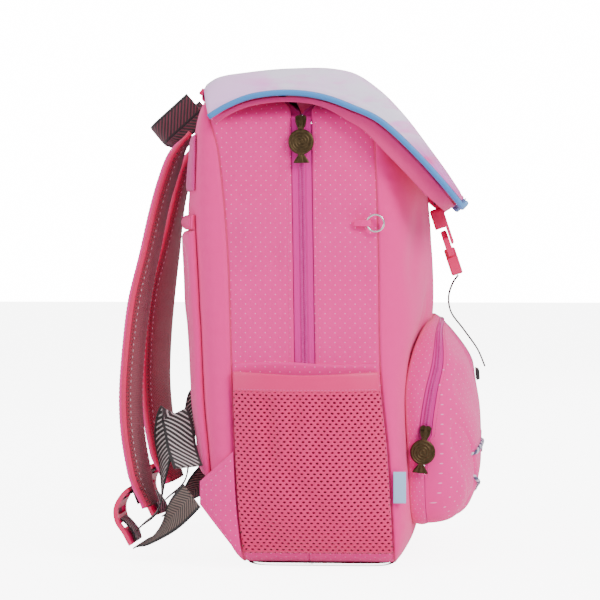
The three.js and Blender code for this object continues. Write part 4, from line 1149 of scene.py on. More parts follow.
label_cloth = ribbed_cloth("label_satin", rgb(176, 214, 246), rgb(150, 190, 236), 0.0006, 0.00005)
low, high = (np.array(corner) * 1000 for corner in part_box("label_tab"))
out, up = np.meshgrid(np.linspace(0, 1, 14), np.linspace(0, 1, 22), indexing="ij")
label_z = low[2] + (high[2] - low[2]) * up
label_y = high[1] - (high[1] - low[1]) * out
label_x = -half_width(label_z) - 1.9 - 0.35 * np.sin(out * 3.0 + up * 1.4)
label_cloth_place = np.stack([label_y, label_z], -1) * 0.001
label_piece = shell(
    "seam_label",
    np.stack([label_x - 0.3, label_y, label_z], -1), np.stack([label_x + 0.3, label_y, label_z], -1),
    label_cloth_place, label_cloth,
)
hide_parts("label_tab")
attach(label_piece, "bag")


# ---------------------------------------------------------------- front pocket
# A soft bellows pocket: a dotted side strip is sewn to the front panel, a coil zip runs over its top from side to
# side, and the face behind it is a full, slack dome.
POCKET_CENTRE = 112
POCKET_ROUNDNESS = 3.2
POCKET_SCALE = 95
POCKET_SLOT = 0.085
POCKET_ZIP_FOOT = 108
SLOT_OPENS = (POCKET_ZIP_FOOT - 8, POCKET_ZIP_FOOT + 2)
pocket_outline = rounded_run([
    [(0, 33)], [(-94, 33)], [(-119, 33), (-121, 60)], [(-123, 140)], [(-123, 197), (-68, 202)], [(0, 207), (68, 202)],
    [(123, 197), (123, 140)], [(121, 60)], [(119, 33), (94, 33)], [(0, 33)],
])
pocket_face = through(
    [[20, -143], [60, -144], [90, -144], [126, -142], [150, -139], [170, -136], [205, -116]]
)


def pocket_edge(turn):
    """Across and up on the sewn outline at a share of the way round."""
    place, _ = along(pocket_outline, turn)
    return place[..., 0], place[..., 1]


def pocket_zip_level(turn):
    """How far out from the panel the zip runs, as a share of the pocket's depth: more over the top."""
    return 0.21 + 0.25 * smooth(pocket_edge(turn)[1], 85, 200)


def pocket_slot_half(turn):
    """Half the slot that the zip fills, as a share of the depth: closed below the zip's feet."""
    return 0.003 + (POCKET_SLOT - 0.003) * smooth(pocket_edge(turn)[1], *SLOT_OPENS)


def pocket_place(turn, height, inset):
    """A place on the pocket: a superellipse from its sewn edge (0) to the middle of its face (1)."""
    edge_x, edge_z = pocket_edge(turn)
    shrink = 1 - inset / POCKET_SCALE
    ring = (1 - height ** POCKET_ROUNDNESS) ** (1 / POCKET_ROUNDNESS) * shrink
    x = edge_x * ring
    z = POCKET_CENTRE + (edge_z - POCKET_CENTRE) * ring
    sewn_x, sewn_z = edge_x * shrink, POCKET_CENTRE + (edge_z - POCKET_CENTRE) * shrink
    sewn_y = front_point(sewn_x / half_width(sewn_z), sewn_z, 0)[..., 1] - 0.6
    return np.stack([x, sewn_y + (pocket_face(z) + inset - sewn_y) * height, z], -1)


def pocket_folds(x, z):
    """The face's folds: slack sags beside the zip's feet and falls from its upper corners."""
    folds = 0
    for sign in (-1, 1):
        folds = folds + crease(x, z, (sign * 116, 120), (sign * 78, 58), 9, -4.2)
        folds = folds + crease(x, z, (sign * 108, 152), (sign * 60, 128), 10, -2.6)
        folds = folds + crease(x, z, (sign * 96, 96), (sign * 88, 40), 7, -3.0)
        folds = folds + crease(x, z, (sign * 98, 182), (sign * 40, 164), 9, -1.8)
    folds = folds + crease(
        x, z, (-24, 190), (-30, 150), 9, -1.6
    ) + crease(x, z, (26, 190), (34, 148), 9, -1.6)
    return np.minimum(1.3 * folds + 1.3 * ripple(x, z, 61, 90, 30), 1.4)


def pocket_depth_to_edge(turn, share, edge):
    """The height on the dome where a place lies a share of the way out to the face's own edge."""
    ring = share * (1 - edge ** POCKET_ROUNDNESS) ** (1 / POCKET_ROUNDNESS)
    return (1 - ring ** POCKET_ROUNDNESS) ** (1 / POCKET_ROUNDNESS)


turn, share = np.meshgrid(
    np.linspace(0, 1, 241), np.sin(np.linspace(0, np.pi / 2, 70)) ** 0.9, indexing="ij"
)
height = pocket_depth_to_edge(turn, share, pocket_zip_level(turn) + pocket_slot_half(turn))
flat = pocket_place(turn, height, 0)
outer = pocket_place(
    turn, height, -pocket_folds(flat[..., 0], flat[..., 2]) * (1 - smooth(share, 0.9, 1.0))
)
inner = pocket_place(turn, height, 2.4)
cloth = flat[..., [0, 2]] * 0.001
pocket_face_piece = shell("front_pocket_face", outer, inner, cloth, dotted_pink, ring=True)
turn, level = np.meshgrid(np.linspace(0, 1, 301), np.linspace(0, 1, 16), indexing="ij")
top = pocket_zip_level(turn) - pocket_slot_half(turn)
side_swell = 0.9 * np.sin(np.pi * level) * (1 + 0.8 * ripple(turn * 700, level * 30, 62, 60, 24))
length_round = turn * 840
cloth = np.stack([length_round, level * 24], -1) * 0.001
pocket_side = shell(
    "front_pocket_side", np.swapaxes(pocket_place(turn, level * top, -side_swell), 0, 1),
    np.swapaxes(
        pocket_place(turn, level * top, 2.4), 0, 1
    ), np.swapaxes(cloth, 0, 1), dotted_pink, ring=True,
)
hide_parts("pocket_front")
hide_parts("pocket_gusset")
for piece in (pocket_face_piece, pocket_side):
    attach(piece, "bag")

ZIP_START, ZIP_END = 0.232, 0.768
COIL_SHORTER = 0.012


def pocket_tape_place(side, share, lift):
    """The pocket's zip tape: side is in millimetres across it, turned into a share of the depth."""
    turn = ZIP_START + (ZIP_END - ZIP_START) * share
    return pocket_place(turn, pocket_zip_level(turn) + side / 60, 0.5 - lift)


pocket_tape = tape("pocket_zip_tape", pocket_tape_place, 200, np.linspace(-4.7, 4.7, 22), thickness=1.4)
coil_turn = np.linspace(ZIP_START + COIL_SHORTER, ZIP_END - COIL_SHORTER, 320)
coil_path = pocket_place(coil_turn, pocket_zip_level(coil_turn), 0.3)
coil_out = coil_path - pocket_place(coil_turn, pocket_zip_level(coil_turn), 8.0)
coil_out = coil_out / np.linalg.norm(coil_out, axis=1, keepdims=True)
pocket_coil = coil("pocket_zip_coil", coil_path, coil_out, spread=1.1, rise=0.5)
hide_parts("pocket_zip")
for piece in (pocket_tape, pocket_coil):
    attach(piece, "bag")

pocket_runs = []
for side, offset in ((-1, 0.03), (1, 0.045)):
    row_turn = np.linspace(0.2, 0.8, 300)
    row_level = pocket_zip_level(row_turn) + side * (pocket_slot_half(row_turn) + offset)
    row = pocket_place(row_turn, row_level, 0.0)
    row_out = row - pocket_place(row_turn, row_level, 8.0)
    pocket_runs.append(stitch_path(row + row_out * 0.02, row_out, 3.0))
edge_turn = np.linspace(0, 1, 600)
edge_row = pocket_place(edge_turn, 0.075 + 0 * edge_turn, -0.35)
edge_out = edge_row - pocket_place(edge_turn, 0.075 + 0 * edge_turn, 8.0)
pocket_runs.append(stitch_path(edge_row, edge_out, 3.2))
pocket_stitches = lozenges(
    "pocket_stitching", *(np.concatenate(part) for part in zip(*pocket_runs)), (2.2, 0.45, 0.3), thread_pink
)
edge_binding = round_bar(
    "pocket_edge_binding", pocket_place(edge_turn, 0.012 + 0 * edge_turn, -0.2), 0.7, seam_cloth, sides=6
)
for piece in (pocket_stitches, edge_binding):
    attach(piece, "bag")


def pocket_surface(x, z):
    """The pocket face straight in front of a place across and up: the outline is found along the ray from the
    pocket's middle, and the superellipse gives the height there."""
    turns = np.linspace(0, 1, 2001)
    edge_x, edge_z = pocket_edge(turns)
    angles = np.unwrap(np.arctan2(-edge_x, -(edge_z - POCKET_CENTRE)))
    wanted = np.arctan2(-x, -(z - POCKET_CENTRE)) % (2 * np.pi)
    turn = np.interp(wanted, angles, turns)
    reach_x, reach_z = pocket_edge(turn)
    ring = np.hypot(x, z - POCKET_CENTRE) / np.hypot(reach_x, reach_z - POCKET_CENTRE)
    height = (1 - np.minimum(ring, 0.99) ** POCKET_ROUNDNESS) ** (1 / POCKET_ROUNDNESS)
    return pocket_place(turn, height, -pocket_folds(x, z) * (1 - smooth(ring, 0.86, 0.96)))


# A heart outline in twisted cord is embroidered on the face: two strands wound about one line, slate and white.
def twisted_cord(material_a, material_b, line, out, name):
    """Two strands wound round a line: each is offset by a turning mix of the sideways and outward directions."""
    heading = np.gradient(line, axis=0)
    heading = heading / np.linalg.norm(heading, axis=1, keepdims=True)
    side = np.cross(heading, out)
    length = np.concatenate([[0], np.cumsum(np.linalg.norm(np.diff(line, axis=0), axis=1))])
    strands = []
    for phase, material, tone in ((0, material_a, "slate"), (math.pi, material_b, "white")):
        wind = (2 * np.pi * length / 9 + phase)[:, None]
        path = line + 1.1 * (side * np.cos(wind) + 0.6 * out * np.sin(wind))
        strands.append(round_bar(f"{name}_{tone}", path, 1.15, material, sides=8))
    return strands


# The cords' second colours are painted shade between their ribs.
slate_cord = ribbed_cloth("slate_cord", rgb(96, 104, 138), rgb(58, 64, 96), 0.0012, 0.0002, slope=1.0)
white_cord = ribbed_cloth("white_cord", rgb(236, 232, 244), rgb(186, 182, 208), 0.0012, 0.0002, slope=1.0)
turn = np.linspace(0, 2 * np.pi, 420)
heart_x = 94 * np.sin(turn) ** 3
heart_z = 74 + 2.0 * (13 * np.cos(turn) - 5 * np.cos(2 * turn) - 2 * np.cos(3 * turn) - np.cos(4 * turn))
heart_line = pocket_surface(heart_x, heart_z)
heart_line[:, 1] -= 1.0
for strand in twisted_cord(slate_cord, white_cord, heart_line, np.array([[0, -1.0, 0]]), "heart_cord"):
    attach(strand, "bag")


# ---------------------------------------------------------------- lid
# A foam-padded flap sewn to the bag's back. It domes over the mouth and down its front, is printed in soft
# watercolour, edged with blue piping and lined and hemmed in pink.
LID_HALF_WIDTH = 144
LID_CORNER = 28
LID_CORNER_SHARE = 0.094
LID_SQUARENESS = 8
LID_THICKNESS = 5
PIPING_RADIUS = 2.4


def spline(points, per_span=24, even=True):
    """Points along a smooth curve through the given ones: a cubic between each pair whose slopes follow its
    neighbours. With even=False the slopes allow for uneven spacing, by the square root of each gap."""
    points = np.array(points, float)
    if even:
        padded = np.concatenate([points[:1], points, points[-1:]])
    else:
        padded = np.concatenate([2 * points[:1] - points[1:2], points, 2 * points[-1:] - points[-2:-1]])
    t = np.linspace(0, 1, per_span + 1)[:, None]
    run = []
    for a, b, c, d in zip(padded, padded[1:], padded[2:], padded[3:]):
        if even:
            slope_b, slope_c = (c - a) / 2, (d - b) / 2
        else:
            gap_a, gap_b, gap_c = (math.sqrt(np.linalg.norm(q - p)) for p, q in ((a, b), (b, c), (c, d)))
            slope_b = gap_b * ((b - a) / gap_a - (c - a) / (gap_a + gap_b) + (c - b) / gap_b)
            slope_c = gap_b * ((c - b) / gap_b - (d - b) / (gap_b + gap_c) + (d - c) / gap_c)
        cubic = b + slope_b * t + (3 * (c - b) - 2 * slope_b - slope_c) * t ** 2
        run.append((cubic + (2 * (b - c) + slope_b + slope_c) * t ** 3)[:-1])
    return np.concatenate(run + [points[-1:]])


lid_crown = spline(
    [
        (92, 402.5), (80, 410), (56, 414), (20, 417.5), (-16, 417.5), (-46, 408), (-75, 380), (-100, 347),
        (-128, 307)
    ]
)
lid_edge = spline(
    [(84, 374), (69, 383), (48, 391), (20, 394), (-8, 391), (-34, 382), (-60, 369), (-92, 339), (-124, 303)]
)


def corner_turn(share):
    """The sine of the rim's turn round a front corner: 0 along the lid's side, 1 at its front edge."""
    return np.clip(1 - (1 - share) / LID_CORNER_SHARE, 0, 1)


def lid_skin(side, share):
    """A place on the lid's outer face: side from -1 to 1 across, share from its sewn edge to its front edge."""
    crown, _ = along(lid_crown, share)
    edge, _ = along(lid_edge, share)
    droop = np.abs(side)[..., None] ** LID_SQUARENESS
    width = LID_HALF_WIDTH - LID_CORNER * (1 - np.sqrt(1 - corner_turn(share) ** 2))
    place = crown + (edge - crown) * droop
    return np.stack([side * width, place[..., 0], place[..., 1]], -1)


def unit(vectors):
    """Vectors of length one."""
    return vectors / np.linalg.norm(vectors, axis=-1, keepdims=True)


def lid_out(side, share):
    """The way out of the lid's face: its direction forward crossed with its direction across."""
    across = lid_skin(side + 0.01, share) - lid_skin(side - 0.01, share)
    ahead = lid_skin(side, np.minimum(1, share + 0.01)) - lid_skin(side, np.maximum(0, share - 0.01))
    return unit(np.cross(ahead, across))


def lid_rim(k):
    """The rim from its rear left corner round the front to its rear right corner, as side and share."""
    start, end = 0.38, 0.62
    ease = np.where(
        k < start, 1 - (1 - np.clip(k / start, 0, 1)) ** 2, 1 - (1 - np.clip((1 - k) / start, 0, 1)) ** 2
    )
    share = np.where((k >= start) & (k <= end), 1.0, ease)
    side = np.where(k < start, -1.0, np.where(k > end, 1.0, 2 * (k - start) / (end - start) - 1))
    return side, share


def rim_place(k, away, down_at):
    """A place beside the rim: away from the lid's edge, and down square to the lid's slope by down_at."""
    side, share = lid_rim(k)
    turn = np.where(np.abs(side) < 1, 1.0, corner_turn(share))
    zero = np.zeros_like(share)
    ahead = unit(lid_skin(zero, np.minimum(1, share + 0.01)) - lid_skin(zero, np.maximum(0, share - 0.01)))
    outward = ahead * turn[..., None]
    outward[..., 0] += np.sign(side) * np.sqrt(1 - turn * turn)
    down = np.stack([zero, -ahead[..., 2], ahead[..., 1]], -1)
    return lid_skin(side, share) + outward * (away + 0 * turn)[..., None] + down * down_at(turn, side, share)[..., None]


def build_watercolour():
    """Washes of dye: broad warped noise mixes three colours, and fine noise breaks up their edges."""
    group, given, result = node_group(
        "watercolour_wash",
        [("Place", "NodeSocketVector", None), ("First", "NodeSocketColor", (1, 1, 1, 1)),
         ("Second", "NodeSocketColor", (1, 1, 1, 1)), ("Third", "NodeSocketColor", (1, 1, 1, 1))],
        [("Colour", "NodeSocketColor")],
    )
    broad = add(group, "ShaderNodeTexNoise", given.outputs["Place"], None, 11.0, 5.0, 0.6)
    streaks = add(
        group, "ShaderNodeTexNoise", vector_of(group, "MULTIPLY", given.outputs["Place"], (6, 14, 50)),
        None, 1.2, 4.0
    )
    for name_of, source, low, high in (("first", broad, 0.42, 0.62), ("second", streaks, 0.48, 0.66)):
        ramp = add(
            group, "ShaderNodeMapRange", source.outputs[0], low, high, 0.0, 1.0,
            interpolation_type="SMOOTHSTEP"
        )
        ramp.name = name_of
    wash = mixed(group, group.nodes["first"].outputs[0], given.outputs["First"], given.outputs["Second"])
    wash = mixed(group, group.nodes["second"].outputs[0], wash, given.outputs["Third"])
    group.links.new(wash, result.inputs["Colour"])
    return group


def lid_print():
    """The lid's printed cloth: pale lilac washes on top, pinker towards the sides and the front edge."""
    material, tree, principled = shader("lid_watercolour_print", 0.5, 0.15)
    place = add(tree, "ShaderNodeTexCoord").outputs["Object"]
    wash = add(tree, "ShaderNodeGroup", node_tree=build_watercolour())
    tree.links.new(place, wash.inputs["Place"])
    wash.inputs["First"].default_value = rgb(252, 198, 255)
    wash.inputs["Second"].default_value = rgb(242, 228, 255)
    wash.inputs["Third"].default_value = rgb(255, 164, 242)
    pink = add(tree, "ShaderNodeGroup", node_tree=wash.node_tree)
    tree.links.new(place, pink.inputs["Place"])
    pink.inputs["First"].default_value = rgb(244, 60, 168)
    pink.inputs["Second"].default_value = rgb(230, 104, 206)
    pink.inputs["Third"].default_value = rgb(250, 44, 150)
    axes = add(tree, "ShaderNodeSeparateXYZ", place)
    low = add(
        tree, "ShaderNodeMapRange", axes.outputs[2], 0.372, 0.335, 0.0, 1.0,
        interpolation_type="SMOOTHSTEP"
    )
    front = add(
        tree, "ShaderNodeMapRange", axes.outputs[1], -0.055, -0.085, 0.0, 1.0,
        interpolation_type="SMOOTHSTEP"
    )
    share = math_of(tree, "MULTIPLY", low.outputs[0], front.outputs[0])
    tree.links.new(mixed(tree, share, wash.outputs[0], pink.outputs[0]), principled.inputs["Base Color"])
    cloth = add(tree, "ShaderNodeUVMap", uv_map="cloth").outputs[0]
    weave = add(tree, "ShaderNodeGroup", node_tree=weave_group)
    tree.links.new(cloth, weave.inputs["Cloth"])
    weave.inputs["Pitch"].default_value = 0.0005
    bump = tree.nodes.new("ShaderNodeBump")
    bump.inputs["Distance"].default_value = 0.0001
    tree.links.new(weave.outputs["Height"], bump.inputs["Height"])
    tree.links.new(bump.outputs[0], principled.inputs["Normal"])
    return material


def lid_folds(x, y):
    """The pad's slow ripples and two soft dents where it bends down to the front."""
    dents = crease(x, y, (-120, -44), (-40, -58), 12, -1.2) + crease(x, y, (118, -40), (46, -56), 12, -1.2)
    return np.minimum(0.7 * ripple(x, y, 71, 120, 45) + dents, 0.5)


side, share = np.meshgrid(
    np.sin(np.linspace(-np.pi / 2, np.pi / 2, 141)), np.linspace(0, 1, 181) ** 0.9, indexing="ij"
)
skin = lid_skin(side, share)
out = lid_out(side, share)
from_rim = np.minimum((1 - np.abs(side)) * LID_HALF_WIDTH, np.minimum(share, 1 - share) * 290)
free = smooth(from_rim, 3, 30)
groove = 0.7 * np.exp(-(((from_rim - 5) / 1.3) ** 2)) * smooth(share, 0.02, 0.06)
edge_roll = 1.2 * (1 - np.sqrt(1 - (1 - np.clip(from_rim / 2.5, 0, 1)) ** 2))
outer = skin + out * (lid_folds(skin[..., 0], skin[..., 1]) * free - groove - edge_roll)[..., None]
taper = 2.4 + (LID_THICKNESS - 2.4) * smooth(share, 0, 0.12)
inner = skin - out * (taper - 0.3)[..., None]
cloth = np.stack([side * 0.144, share * 0.29], -1)
lid_pad = shell("printed_lid_pad", outer, inner, cloth, lid_print())
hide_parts("lid_panel")
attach(lid_pad, "lid")

# The lid's lining: the same shape a touch inside it, in pink.
lining_pink = cloth_material("lid_lining", rgb(246, 40, 140), rgb(228, 28, 120), pitch=0.0005)
lining = shell(
    "lid_lining", skin - out * (taper + 0.02)[..., None], skin - out * (taper + 0.35)[..., None], cloth,
    lining_pink
)
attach(lining, "lid")


def piping_material():
    """Blue piping cord: satin cloth on the bias, with fine diagonal threads."""
    return ribbed_cloth(
        "blue_piping_cloth", rgb(62, 146, 214), rgb(46, 126, 202), 0.0011, 0.00004, slope=0.8
    )


rim_k = np.linspace(0, 1, 421)
rim_line = rim_place(rim_k, PIPING_RADIUS + 1.2, lambda turn, side, share: 1.5 + 0 * turn)
piping_cloth = piping_material()
piping = round_bar("lid_piping_cord", rim_line, PIPING_RADIUS, piping_cloth, sides=14)
flange = []
for away, drop in ((PIPING_RADIUS - 0.2, 0.0), (-0.4, 0.4)):
    flange.append(rim_place(rim_k, away, lambda turn, side, share, drop=drop: drop + 0 * turn))
flange_top = np.stack(flange)
flange_low = flange_top + (
    rim_place(rim_k, 0, lambda t, s, v: 0.8 + 0 * t) - rim_place(rim_k, 0, lambda t, s, v: 0 * t)
)
flange_cloth = np.zeros(flange_top.shape[:2] + (2,))
piping_flange = shell("lid_piping_flange", flange_top, flange_low, flange_cloth, piping_cloth)
navy_edge = cloth_material("print_edge", rgb(74, 92, 160), rgb(60, 70, 140), pitch=0.0004, sheen=0.1)
edge_line = rim_place(rim_k, 0.5, lambda turn, side, share: -0.7 + 0 * turn)
print_edge = round_bar("lid_print_edge", edge_line, 0.55, navy_edge, sides=6)
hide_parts("lid_piping")
for piece in (piping, piping_flange, print_edge):
    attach(piece, "lid")


def hem_drop(turn, side, share, down):
    """How far the hem hangs at a share of its depth: shallow at the lid's back and deep towards its front."""
    start = 4.8 + (LID_THICKNESS + 1.2 - 4.8) * turn
    deep = 4 + 10 * smooth(share, 0.35, 0.75) - 4 * (1 - side * side) - LID_THICKNESS * turn
    return start + deep * down


hem_k, hem_down = np.meshgrid(rim_k, np.linspace(0, 1, 12), indexing="ij")
hem_wave = 0.4 * np.sin(hem_k * 46) * hem_down
hem_outer = rim_place(
    hem_k, -0.7 + hem_wave, lambda turn, side, share: hem_drop(turn, side, share, hem_down)
)
hem_inner = rim_place(
    hem_k, -2.3 + hem_wave, lambda turn, side, share: hem_drop(turn, side, share, hem_down)
)
hem = shell(
    "lid_hem_band", hem_outer, hem_inner, np.stack([hem_k * 0.9, hem_down * 0.014], -1), lining_pink
)
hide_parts("lid_hem")
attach(hem, "lid")

tape_x, tape_up = np.meshgrid(np.linspace(-92, 92, 60), np.linspace(0, 1, 6), indexing="ij")
tape_y, tape_z = 93.2 + 3.2 * tape_up, 399 - 4 * tape_up
tape_cloth_place = np.stack([tape_x, tape_up * 5], -1) * 0.001
seam_tape = shell(
    "lid_seam_cover", np.stack(
        [tape_x, tape_y + 0.4, tape_z + 1.2], -1
    ), np.stack([tape_x, tape_y, tape_z], -1),
    tape_cloth_place, satin_pink,
)
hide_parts("lid_seam_tape")
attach(seam_tape, "bag")

# A strip of the same cloth is the lid's hinge. One edge is sewn into the bag's rear top seam and the other into the
# lid's sewn edge, with a little slack between, so it stays closed behind the lid.
STRIP_HALF_LENGTH = 112
STRIP_SLACK = 4.0
STRIP_HALF_THICKNESS = 0.6
SEWN_INTO_LID = 1.2
SUNK_INTO_BAG = 0.8
on_top = seam_arch[:, 1] > 300
strip_x, strip_down = np.meshgrid(
    np.linspace(-STRIP_HALF_LENGTH, STRIP_HALF_LENGTH, 90), np.linspace(0, 1, 12), indexing="ij"
)
arch_order = np.argsort(seam_arch[on_top, 0])
arch_z = np.interp(strip_x, seam_arch[on_top, 0][arch_order], seam_arch[on_top, 1][arch_order])
lid_side = strip_x / LID_HALF_WIDTH
at_lid = lid_skin(lid_side, 0 * lid_side) - SEWN_INTO_LID * lid_out(lid_side, 0 * lid_side)
at_bag = np.stack([strip_x, rear_seam(arch_z) + SEAM_GAP, arch_z - SUNK_INTO_BAG], -1)
strip_out = np.array([0, 0.8, -0.6])
slack = STRIP_SLACK * np.sin(np.pi * strip_down)[..., None]
strip = at_lid + (at_bag - at_lid) * strip_down[..., None] + strip_out * slack
hinge_strip = shell(
    "lid_hinge_strip", strip + strip_out * STRIP_HALF_THICKNESS, strip - strip_out * STRIP_HALF_THICKNESS,
    np.stack([strip_x, strip_down * 10], -1) * 0.001, satin_pink,
)
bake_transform(hinge_strip)


# ---------------------------------------------------------------- webbing
# Flat woven polyester tape, black at its edges, with brown or white diagonal ribs between. The front strap hangs
# slack from the lid through the buckle to an anchor sewn on the pocket.
def webbing_material(name, ground, rib, edge, pitch, slope, width=0.025, rib_share=0.1):
    """Ribbed webbing: zigzag stripes by the place along and across it, plain dark selvedges, and a ribbed bump."""
    material, tree, principled = shader(name, 0.62, 0.2)
    cloth = add(tree, "ShaderNodeSeparateXYZ", add(tree, "ShaderNodeUVMap", uv_map="cloth").outputs[0])
    across = math_of(tree, "ABSOLUTE", cloth.outputs[0])
    run = math_of(
        tree, "MULTIPLY_ADD", across if slope < 0 else cloth.outputs[0], abs(slope), cloth.outputs[1]
    )
    wave = math_of(tree, "SINE", math_of(tree, "MULTIPLY", run, 2 * math.pi / pitch))
    stripe = add(tree, "ShaderNodeMapRange", wave, rib_share - 0.25, rib_share + 0.25, 0.0, 1.0)
    selvedge = add(tree, "ShaderNodeMapRange", across, width / 2 - 0.0026, width / 2 - 0.002, 0.0, 1.0)
    coloured = mixed(tree, stripe.outputs[0], ground, rib)
    tree.links.new(mixed(tree, selvedge.outputs[0], coloured, edge), principled.inputs["Base Color"])
    fine = math_of(tree, "SINE", math_of(tree, "MULTIPLY", run, 2 * math.pi / 0.0012))
    height = math_of(tree, "MULTIPLY_ADD", fine, 0.4, math_of(tree, "MULTIPLY", stripe.outputs[0], 0.6))
    bump = tree.nodes.new("ShaderNodeBump")
    bump.inputs["Distance"].default_value = 0.0003
    tree.links.new(height, bump.inputs["Height"])
    tree.links.new(bump.outputs[0], principled.inputs["Normal"])
    return material


def ribbon(name, path, width_way, width, material, thickness=1.5, crown=0.25):
    """Webbing along a path. Its width points along width_way, made square to the path, and its faces are a little
    thicker in the middle than at the selvedges."""
    heading = unit(np.gradient(path, axis=0))
    side = unit(width_way - heading * np.sum(width_way * heading, -1, keepdims=True))
    out = np.cross(side, heading)
    place = np.linspace(-0.5, 0.5, 13)
    length = np.concatenate([[0], np.cumsum(np.linalg.norm(np.diff(path, axis=0), axis=1))])
    half = thickness / 2 * (1 - crown * (2 * place) ** 4)
    spread = path[:, None] + side[:, None] * (place * width)[None, :, None]
    lift = out[:, None] * half[None, :, None]
    cloth = np.stack(np.broadcast_arrays(place[None] * width, length[:, None]), -1) * 0.001
    return shell(name, spread + lift, spread - lift, cloth, material)


brown_webbing = webbing_material(
    "brown_herringbone_webbing", rgb(44, 34, 34), rgb(128, 106, 96), rgb(22, 18, 20), 0.0034, -1.0
)
front_tape_cloth = webbing_material(
    "front_strap_webbing", rgb(36, 28, 28), rgb(96, 78, 70), rgb(20, 16, 18), 0.003, 1.0, width=0.022
)
ACROSS = np.array([1.0, 0, 0])


def in_side_view(points, count=80):
    """A smooth path in the plane x = 0 through (y, z) points, as evenly spaced places."""
    place, _ = along(spline(points), np.linspace(0, 1, count))
    return np.stack([np.zeros(count), place[:, 0], place[:, 1]], -1)


lid_strap = ribbon(
    "lid_strap", in_side_view([(-97, 340), (-98.4, 325), (-101.5, 309), (-103.2, 302.4)]), ACROSS, 22,
    front_tape_cloth
)
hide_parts("lid_webbing")
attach(lid_strap, "lid")
hanging = in_side_view(
    [(-124, 240.4), (-119, 233), (-115.5, 221), (-118, 207), (-129, 192), (-141, 175), (-147.5, 160)], 140
)
front_strap = ribbon("front_strap", hanging, ACROSS, 22, front_tape_cloth)
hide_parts("front_webbing")
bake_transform(front_strap)
anchor_x, anchor_up = np.meshgrid(np.linspace(-13.6, 13.6, 30), np.linspace(0, 1, 14), indexing="ij")
anchor_z = 148 + 10 * anchor_up
edge = np.minimum(13.6 - np.abs(anchor_x), np.minimum(anchor_up, 1 - anchor_up) * 10)
anchor_y = pocket_face(anchor_z) - 1.2 - 2.9 * np.sqrt(1 - (1 - np.clip(edge / 1.6, 0, 1)) ** 2)
anchor_cloth = np.stack([anchor_x, anchor_z], -1) * 0.001
anchor = shell(
    "strap_anchor", np.stack([anchor_x, anchor_y, anchor_z], -1),
    np.stack([anchor_x, pocket_face(anchor_z) - 0.9, anchor_z], -1), anchor_cloth, brown_webbing,
)
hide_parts("webbing_anchor")
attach(anchor, "bag")

# The haul loop: a short length of the same dark webbing set on edge, sewn down at both ends.
HAUL_WIDTH = 20
HAUL_TURN = math.radians(-40)
loop_run = rounded_run([
    [(-53, 1)], [(-49, 18.4), (-45, 32)], [(-43, 45), (-29, 45)], [(29, 45)], [(43, 45), (45, 32)], [(49, 18.4), (53, 1)],
])
loop_flat, _ = along(loop_run, np.linspace(0, 1, 220))
cosine, sine = math.cos(HAUL_TURN), math.sin(HAUL_TURN)
loop_path = np.stack([loop_flat[:, 0], 104.5 + loop_flat[:, 1] * cosine, 391 + loop_flat[:, 1] * sine], -1)
loop_width = np.array([0.0, -sine, cosine])
haul_cloth = webbing_material(
    "haul_loop_webbing", rgb(32, 22, 26), rgb(112, 44, 62), rgb(18, 14, 16), 0.004, 1.0, width=0.02
)
haul = ribbon("haul_webbing", loop_path, loop_width, HAUL_WIDTH, haul_cloth, thickness=2.0)
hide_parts("haul_loop")
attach(haul, "haul_loop")


# ---------------------------------------------------------------- moulded buckle, adjusters and metal sliders
# The plastic parts are injection moulded, so a merged copy of each solid gets small rounded edges. The sliders are
# die-cast and plated like their pulls.
def moulded(node, body, name, material, radius=0.0005):
    """A merged copy of a CAD node with rounded edges, in its place."""
    mesh = frame["nodes"][node].data.copy()
    mesh.name = name
    shape = bmesh.new()
    shape.from_mesh(mesh)
    bmesh.ops.remove_doubles(shape, verts=shape.verts, dist=1e-6)
    bmesh.ops.dissolve_limit(shape, angle_limit=math.radians(2), verts=shape.verts, edges=shape.edges)
    shape.to_mesh(mesh)
    shape.free()
    if mesh.attributes.get("custom_normal"):
        mesh.attributes.remove(mesh.attributes["custom_normal"])
    mesh.materials.clear()
    mesh.materials.append(material)
    obj = bpy.data.objects.new(name, mesh)
    scene.collection.objects.link(obj)
    edge = obj.modifiers.new("rounded_edges", "BEVEL")
    edge.width = radius
    edge.segments = 2
    edge.limit_method = "ANGLE"
    edge.angle_limit = math.radians(28)
    edge.harden_normals = True
    mesh.shade_smooth()
    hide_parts(node)
    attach(obj, body)
    return obj


def moulded_plastic(name, colour, shade, roughness):
    """Moulded acetal: a slow tint of flow in the colour, and a fine spark-eroded grain."""
    material, tree, principled = shader(name, roughness, coat=0.15)
    place = add(tree, "ShaderNodeTexCoord").outputs["Object"]
    flow = add(tree, "ShaderNodeTexNoise", place, None, 60.0, 2.0)
    grain = add(tree, "ShaderNodeTexNoise", place, None, 2600.0, 2.0)
    tree.links.new(mixed(tree, flow.outputs[0], shade, colour), principled.inputs["Base Color"])
    bump = tree.nodes.new("ShaderNodeBump")
    bump.inputs["Distance"].default_value = 0.00003
    tree.links.new(grain.outputs[0], bump.inputs["Height"])
    tree.links.new(bump.outputs[0], principled.inputs["Normal"])
    return material


buckle_plastic = moulded_plastic("pink_buckle_plastic", rgb(240, 6, 112), rgb(224, 4, 98), 0.38)
adjuster_plastic = moulded_plastic("pink_adjuster_plastic", rgb(240, 4, 104), rgb(224, 2, 90), 0.34)
for node, body in (
    ("buckle_socket", "lid"), ("buckle_plug", "plug"), ("latch_arm_left", "latch_left"), (
        "latch_arm_right", "latch_right"
    ),
):
    moulded(node, body, f"moulded_{node}", buckle_plastic, 0.0006)
for label in ("left", "right"):
    moulded(
        f"adjuster_{label}", f"adjuster_{label}", f"moulded_adjuster_{label}", adjuster_plastic,
        0.0007
    )

